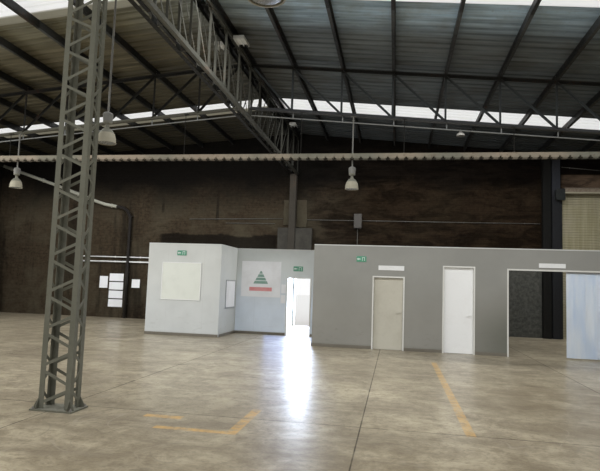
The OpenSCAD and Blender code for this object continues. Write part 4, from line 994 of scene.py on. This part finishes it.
def anchor_bolts():
    """Nuts and washers on the threaded ends that hold every column's base plate."""
    b = Build()
    plate = 0.020
    places = []
    for name in ("ridge_column_front", "ridge_column_middle"):
        lo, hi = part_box(name)
        for x in (lo[0] + 0.030, hi[0] - 0.030):
            places += [(x, y) for y in (lo[1] + 0.030, hi[1] - 0.030)]
    for frame_y in (-16.0, -8.0, 0.0, 8.0):
        for x in (HALF - 0.215, HALF - 0.10):
            places += [(side * x, frame_y + dy) for side in (-1, 1) for dy in (-0.105, 0.105)]
    for x, y in places:
        at = Vector((x, y, FLOOR + plate))
        b.lathe(at, (0, 0, 1), ((0.021, 0.0), (0.021, 0.003)), 12, False)
        b.bolt(at + Vector((0, 0, 0.003)), (0, 0, 1), 0.0165, 0.014)
        b.tube([at, at + Vector((0, 0, 0.034))], 0.0085, 8)
    b.done("anchor_bolts", ["zinc"])


def girder_bolts():
    """Three bolts through every gusset plate of the ridge girders."""
    b = Build()
    panels, top, low, face = 14, 7.978, 6.395, 0.1125
    step = 2 * BAY / panels
    for start in (-2 * BAY, 0.0):
        for k in range(panels + 1):
            for dy, up in ((-0.078, 0.118), (-0.034, 0.118), (0.078, 0.118)):
                y = start + k * step + dy
                if not start < y < start + 2 * BAY:
                    continue
                for side in (-1, 1):
                    for z in (low + up, top - up):
                        b.bolt((side * face, y, FLOOR + z), (side, 0, 0), 0.013, 0.010)
    b.done("girder_bolts", ["zinc"])


def on_slope(side):
    """Maps (distance from the ridge, y, height over the sheets' underside) onto the left or right slope."""
    c, s = math.cos(SLOPE), math.sin(SLOPE)
    return Matrix(((side * c, 0, side * s, 0), (0, 1, 0, 0), (-s, 0, c, FLOOR + RIDGE), (0, 0, 0, 1)))


def purlin_cleats():
    """An angle cleat behind each purlin where it crosses a rafter, with two bolts through the web."""
    b = Build()
    run, depth, half_web = 1 / math.cos(SLOPE), 0.2006, 0.0375
    for frame_y in (-8.0, 0.0, 8.0):
        for side in (-1, 1):
            place = on_slope(side)
            for k in range(1, 10):
                u = (k * PURLIN_STEP - half_web) * run
                b.layer = 0
                y0, y1, foot = frame_y - 0.04, frame_y + 0.04, -depth + 0.001
                b.box((u - 0.0075, y0, foot), (u - 0.0005, y1, -0.060), 0.0, place)
                b.box((u - 0.075, y0, foot), (u - 0.0080, y1, foot + 0.007), 0.0, place)
                b.layer = 1
                for w in (-0.150, -0.085):
                    at = place @ Vector((u - 0.0075, frame_y, w))
                    b.bolt(at, place.to_3x3() @ Vector((-1, 0, 0)), 0.012, 0.010)
    b.done("purlin_cleats", ["dark", "zinc"])


def roof_screws():
    """Hexagon screws with washers on every second rib, over every purlin."""
    b = Build()
    run = 1 / math.cos(SLOPE)
    edges = [-16.4] + [m + s * STRIP_W / 2 for m in STRIPS for s in (-1, 1)] + [16.4]
    ribs = []
    for y0, y1 in zip(edges, edges[1:]):
        n = round((y1 - y0) / RIB_STEP)
        ribs += [y0 + (k + 0.83) * (y1 - y0) / n for k in range(0, n, 2)]
    for side in (-1, 1):
        place = on_slope(side)
        out = place.to_3x3() @ Vector((0, 0, 1))
        for k in range(1, 11):
            u = min(k * PURLIN_STEP, HALF - 0.07) * run
            for y in ribs:
                at = place @ Vector((u, y, RIB_H + SHEET_T))
                b.lathe(at, out, ((0.011, 0.0), (0.011, 0.002)), 8, False)
                b.bolt(at + out * 0.002, out, 0.006, 0.006)
    b.done("roof_screws", ["zinc"])


def lamp_glasses():
    """A faintly domed glass in the mouth of every high bay lamp."""
    b = Build()
    radius, rows, step = 0.166, 5, 5.04
    places = ((-0.506 * HALF, 0.223 * HALF), (-0.092 * HALF, 0.64 * HALF))
    for k in range(rows):
        for x in places[k % 2]:
            b.lathe((x, 8.0 - k * step, LAMP_Z), (0, 0, 1),
                    ((0.02, 0.002), (0.09, 0.003), (0.14, 0.006), (radius, 0.011), (radius, 0.0155)), 36)
    b.done("lamp_glasses", ["glass"])


def small_lights():
    """Folded white reflectors under the ridge purlins, and a small bell lamp high over the back bay."""
    b = Build()
    top, deep, wall = 7.975, 0.085, 0.004
    trays = ((0.175, 0.45, 6.12, 6.66), (-0.43, -0.175, 6.42, 6.86), (0.175, 0.42, 13.6, 14.1))
    for x0, x1, y0, y1 in trays:
        b.box((x0, y0, FLOOR + top - wall), (x1, y1, FLOOR + top), 0.001)
        for x in (x0, x1 - wall):
            b.box((x, y0, FLOOR + top - deep), (x + wall, y1, FLOOR + top - wall), 0.001)
        b.box((x0 + wall, y0, FLOOR + top - deep), (x1 - wall, y0 + wall, FLOOR + top - wall), 0.001)
        middle = (x0 + x1) / 2
        b.tube([(middle, y, FLOOR + top - 0.045) for y in (y0 + 0.06, y1 - 0.03)], 0.019)
    x, y, u = 6.50, 12.80, 1 / math.cos(SLOPE)
    b.layer = 2
    bell = ((0.15, 0.0), (0.145, 0.03), (0.11, 0.09), (0.05, 0.12), (0.05, 0.20), (0.03, 0.21))
    b.lathe((x, y, FLOOR + 7.13), (0, 0, 1), bell, 24)
    b.tube([(x, y, FLOOR + 7.33), (x, y, FLOOR + 7.40)], 0.012, 10)
    b.layer = 1
    b.box((5.52 * u, y - 0.02, -0.2006 - 0.03), (7.04 * u, y + 0.02, -0.2012), 0.002, on_slope(1))
    b.done("small_lights", ["white", "dark", "conduit"])


for i, sign in enumerate(((-2.43, 2.62, STORE_Y, 0.31, 0.16), (1.06, 2.27, RECESS_Y, 0.33, 0.17),
                          (3.37, 2.53, ROOM_Y, 0.28, 0.16))):
    exit_sign("exit_sign_%d" % (i + 1), *sign)
for make in (name_plates, wall_board, recess_poster, paper_notices, side_notice_frame, strip_curtain,
             wall_conduits, pier_patches, wall_pipe, partition_caps, skirtings, exit_lining,
             thresholds, anchor_bolts, girder_bolts, purlin_cleats, roof_screws, lamp_glasses,
             small_lights):
    make()


def stage():
    """A plain pale floor, a little below the slab's underside."""
    mesh = bpy.data.meshes.new("stage_floor")
    size, top = 90.0, -0.002
    bm = bmesh.new()
    corners = ((-size, -size), (size, -size), (size, size), (-size, size))
    bm.faces.new([bm.verts.new((x, y, top)) for x, y in corners])
    bm.to_mesh(mesh)
    bm.free()
    obj = bpy.data.objects.new("stage_floor", mesh)
    bpy.context.scene.collection.objects.link(obj)
    s = Shader("stage_pale", rough=0.9, spec=0.1)
    mesh.materials.append(s.finish((0.86, 0.86, 0.85)))


def area(name, at, size, radiance, direction, colour=(1, 1, 1), glossy=False):
    """A rectangular lamp that the camera doesn't see."""
    lamp = bpy.data.lights.new(name, "AREA")
    lamp.shape = "RECTANGLE"
    lamp.size, lamp.size_y = size
    lamp.energy = radiance * math.pi * size[0] * size[1]
    lamp.color = colour
    obj = bpy.data.objects.new(name, lamp)
    obj.location = at
    obj.rotation_euler = Vector(direction).to_track_quat("-Z", "Y").to_euler()
    obj.visible_camera = False
    obj.visible_glossy = glossy
    bpy.context.scene.collection.objects.link(obj)
    return obj


STRIP_LIGHT, SIDE_LIGHT, DOOR_LIGHT = 13.8, 7.4, 62.0    # radiance of the lamps
RECESS_LIGHT, CORRIDOR_LIGHT = 1.5, 2.5
DAYLIGHT, DOOR_TINT, SHEEN_TINT = (0.985, 0.99, 1.0), (0.70, 0.80, 1.0), (0.28, 0.45, 1.0)


def lights():
    """White sky, daylight below each rooflight, from the left and in the exit doorway.

    A weak lamp fills the corridor, and one that only shows in reflections gives the floor its blue sheen.
    """
    world = bpy.data.worlds.new("studio")
    world.use_nodes = True
    sky = world.node_tree.nodes["Background"].inputs
    sky["Color"].default_value, sky["Strength"].default_value = (1, 1, 1, 1), 1.0
    bpy.context.scene.world = world
    for i, y in enumerate(STRIPS):
        for side in (-1, 1):
            at = (side * HALF / 2, y, roof_z(HALF / 2) - 0.30)
            lamp = area("strip_%d_%d" % (i, side), at, (12.8, 1.0), STRIP_LIGHT, (0, 0, -1), DAYLIGHT)
            lamp.rotation_euler = (0, side * SLOPE, 0)
    area("side_day", (-HALF + 1.4, 4.0, FLOOR + 2.6), (7.0, 4.0), SIDE_LIGHT, (1, 0.25, -0.05), DAYLIGHT)
    area("doorway_day", (0.825, BACK_Y + 0.12, FLOOR + 1.09), (1.22, 2.08), DOOR_LIGHT, (0, -1, 0),
         DOOR_TINT, glossy=True)
    area("corridor_fill", (1.1, RECESS_Y + 0.5, FLOOR + 1.9), (1.2, 0.8), CORRIDOR_LIGHT, (0, 1, -0.1))
    sheen = area("recess_sheen", (0.95, RECESS_Y - 0.04, FLOOR + 1.15), (2.0, 2.2), RECESS_LIGHT,
                 (0, -1, 0), SHEEN_TINT, glossy=True)
    sheen.visible_diffuse = False


def camera():
    """The photograph's camera: 1.75 m over the floor, turned left, tilted up and rolled a little."""
    yaw, pitch, roll = math.radians(10.0), math.radians(5.06), math.radians(2.0)
    ahead = Vector((-math.sin(yaw) * math.cos(pitch), math.cos(yaw) * math.cos(pitch), math.sin(pitch)))
    level = Vector((math.cos(yaw), math.sin(yaw), 0.0))
    above = level.cross(ahead)
    right = math.cos(roll) * level + math.sin(roll) * above
    up = -math.sin(roll) * level + math.cos(roll) * above
    data = bpy.data.cameras.new("photo_camera")
    data.lens = 33.0
    data.sensor_width = 36.0
    data.sensor_fit = "HORIZONTAL"
    data.clip_start, data.clip_end = 0.05, 400.0
    obj = bpy.data.objects.new("photo_camera", data)
    place = Matrix((right, up, -ahead)).transposed().to_4x4()
    place.translation = Vector((4.35, -6.8, FLOOR + 1.75))
    obj.matrix_world = place
    bpy.context.scene.collection.objects.link(obj)
    bpy.context.scene.camera = obj


stage()
lights()
camera()
bpy.context.scene.view_settings.view_transform = "Standard"
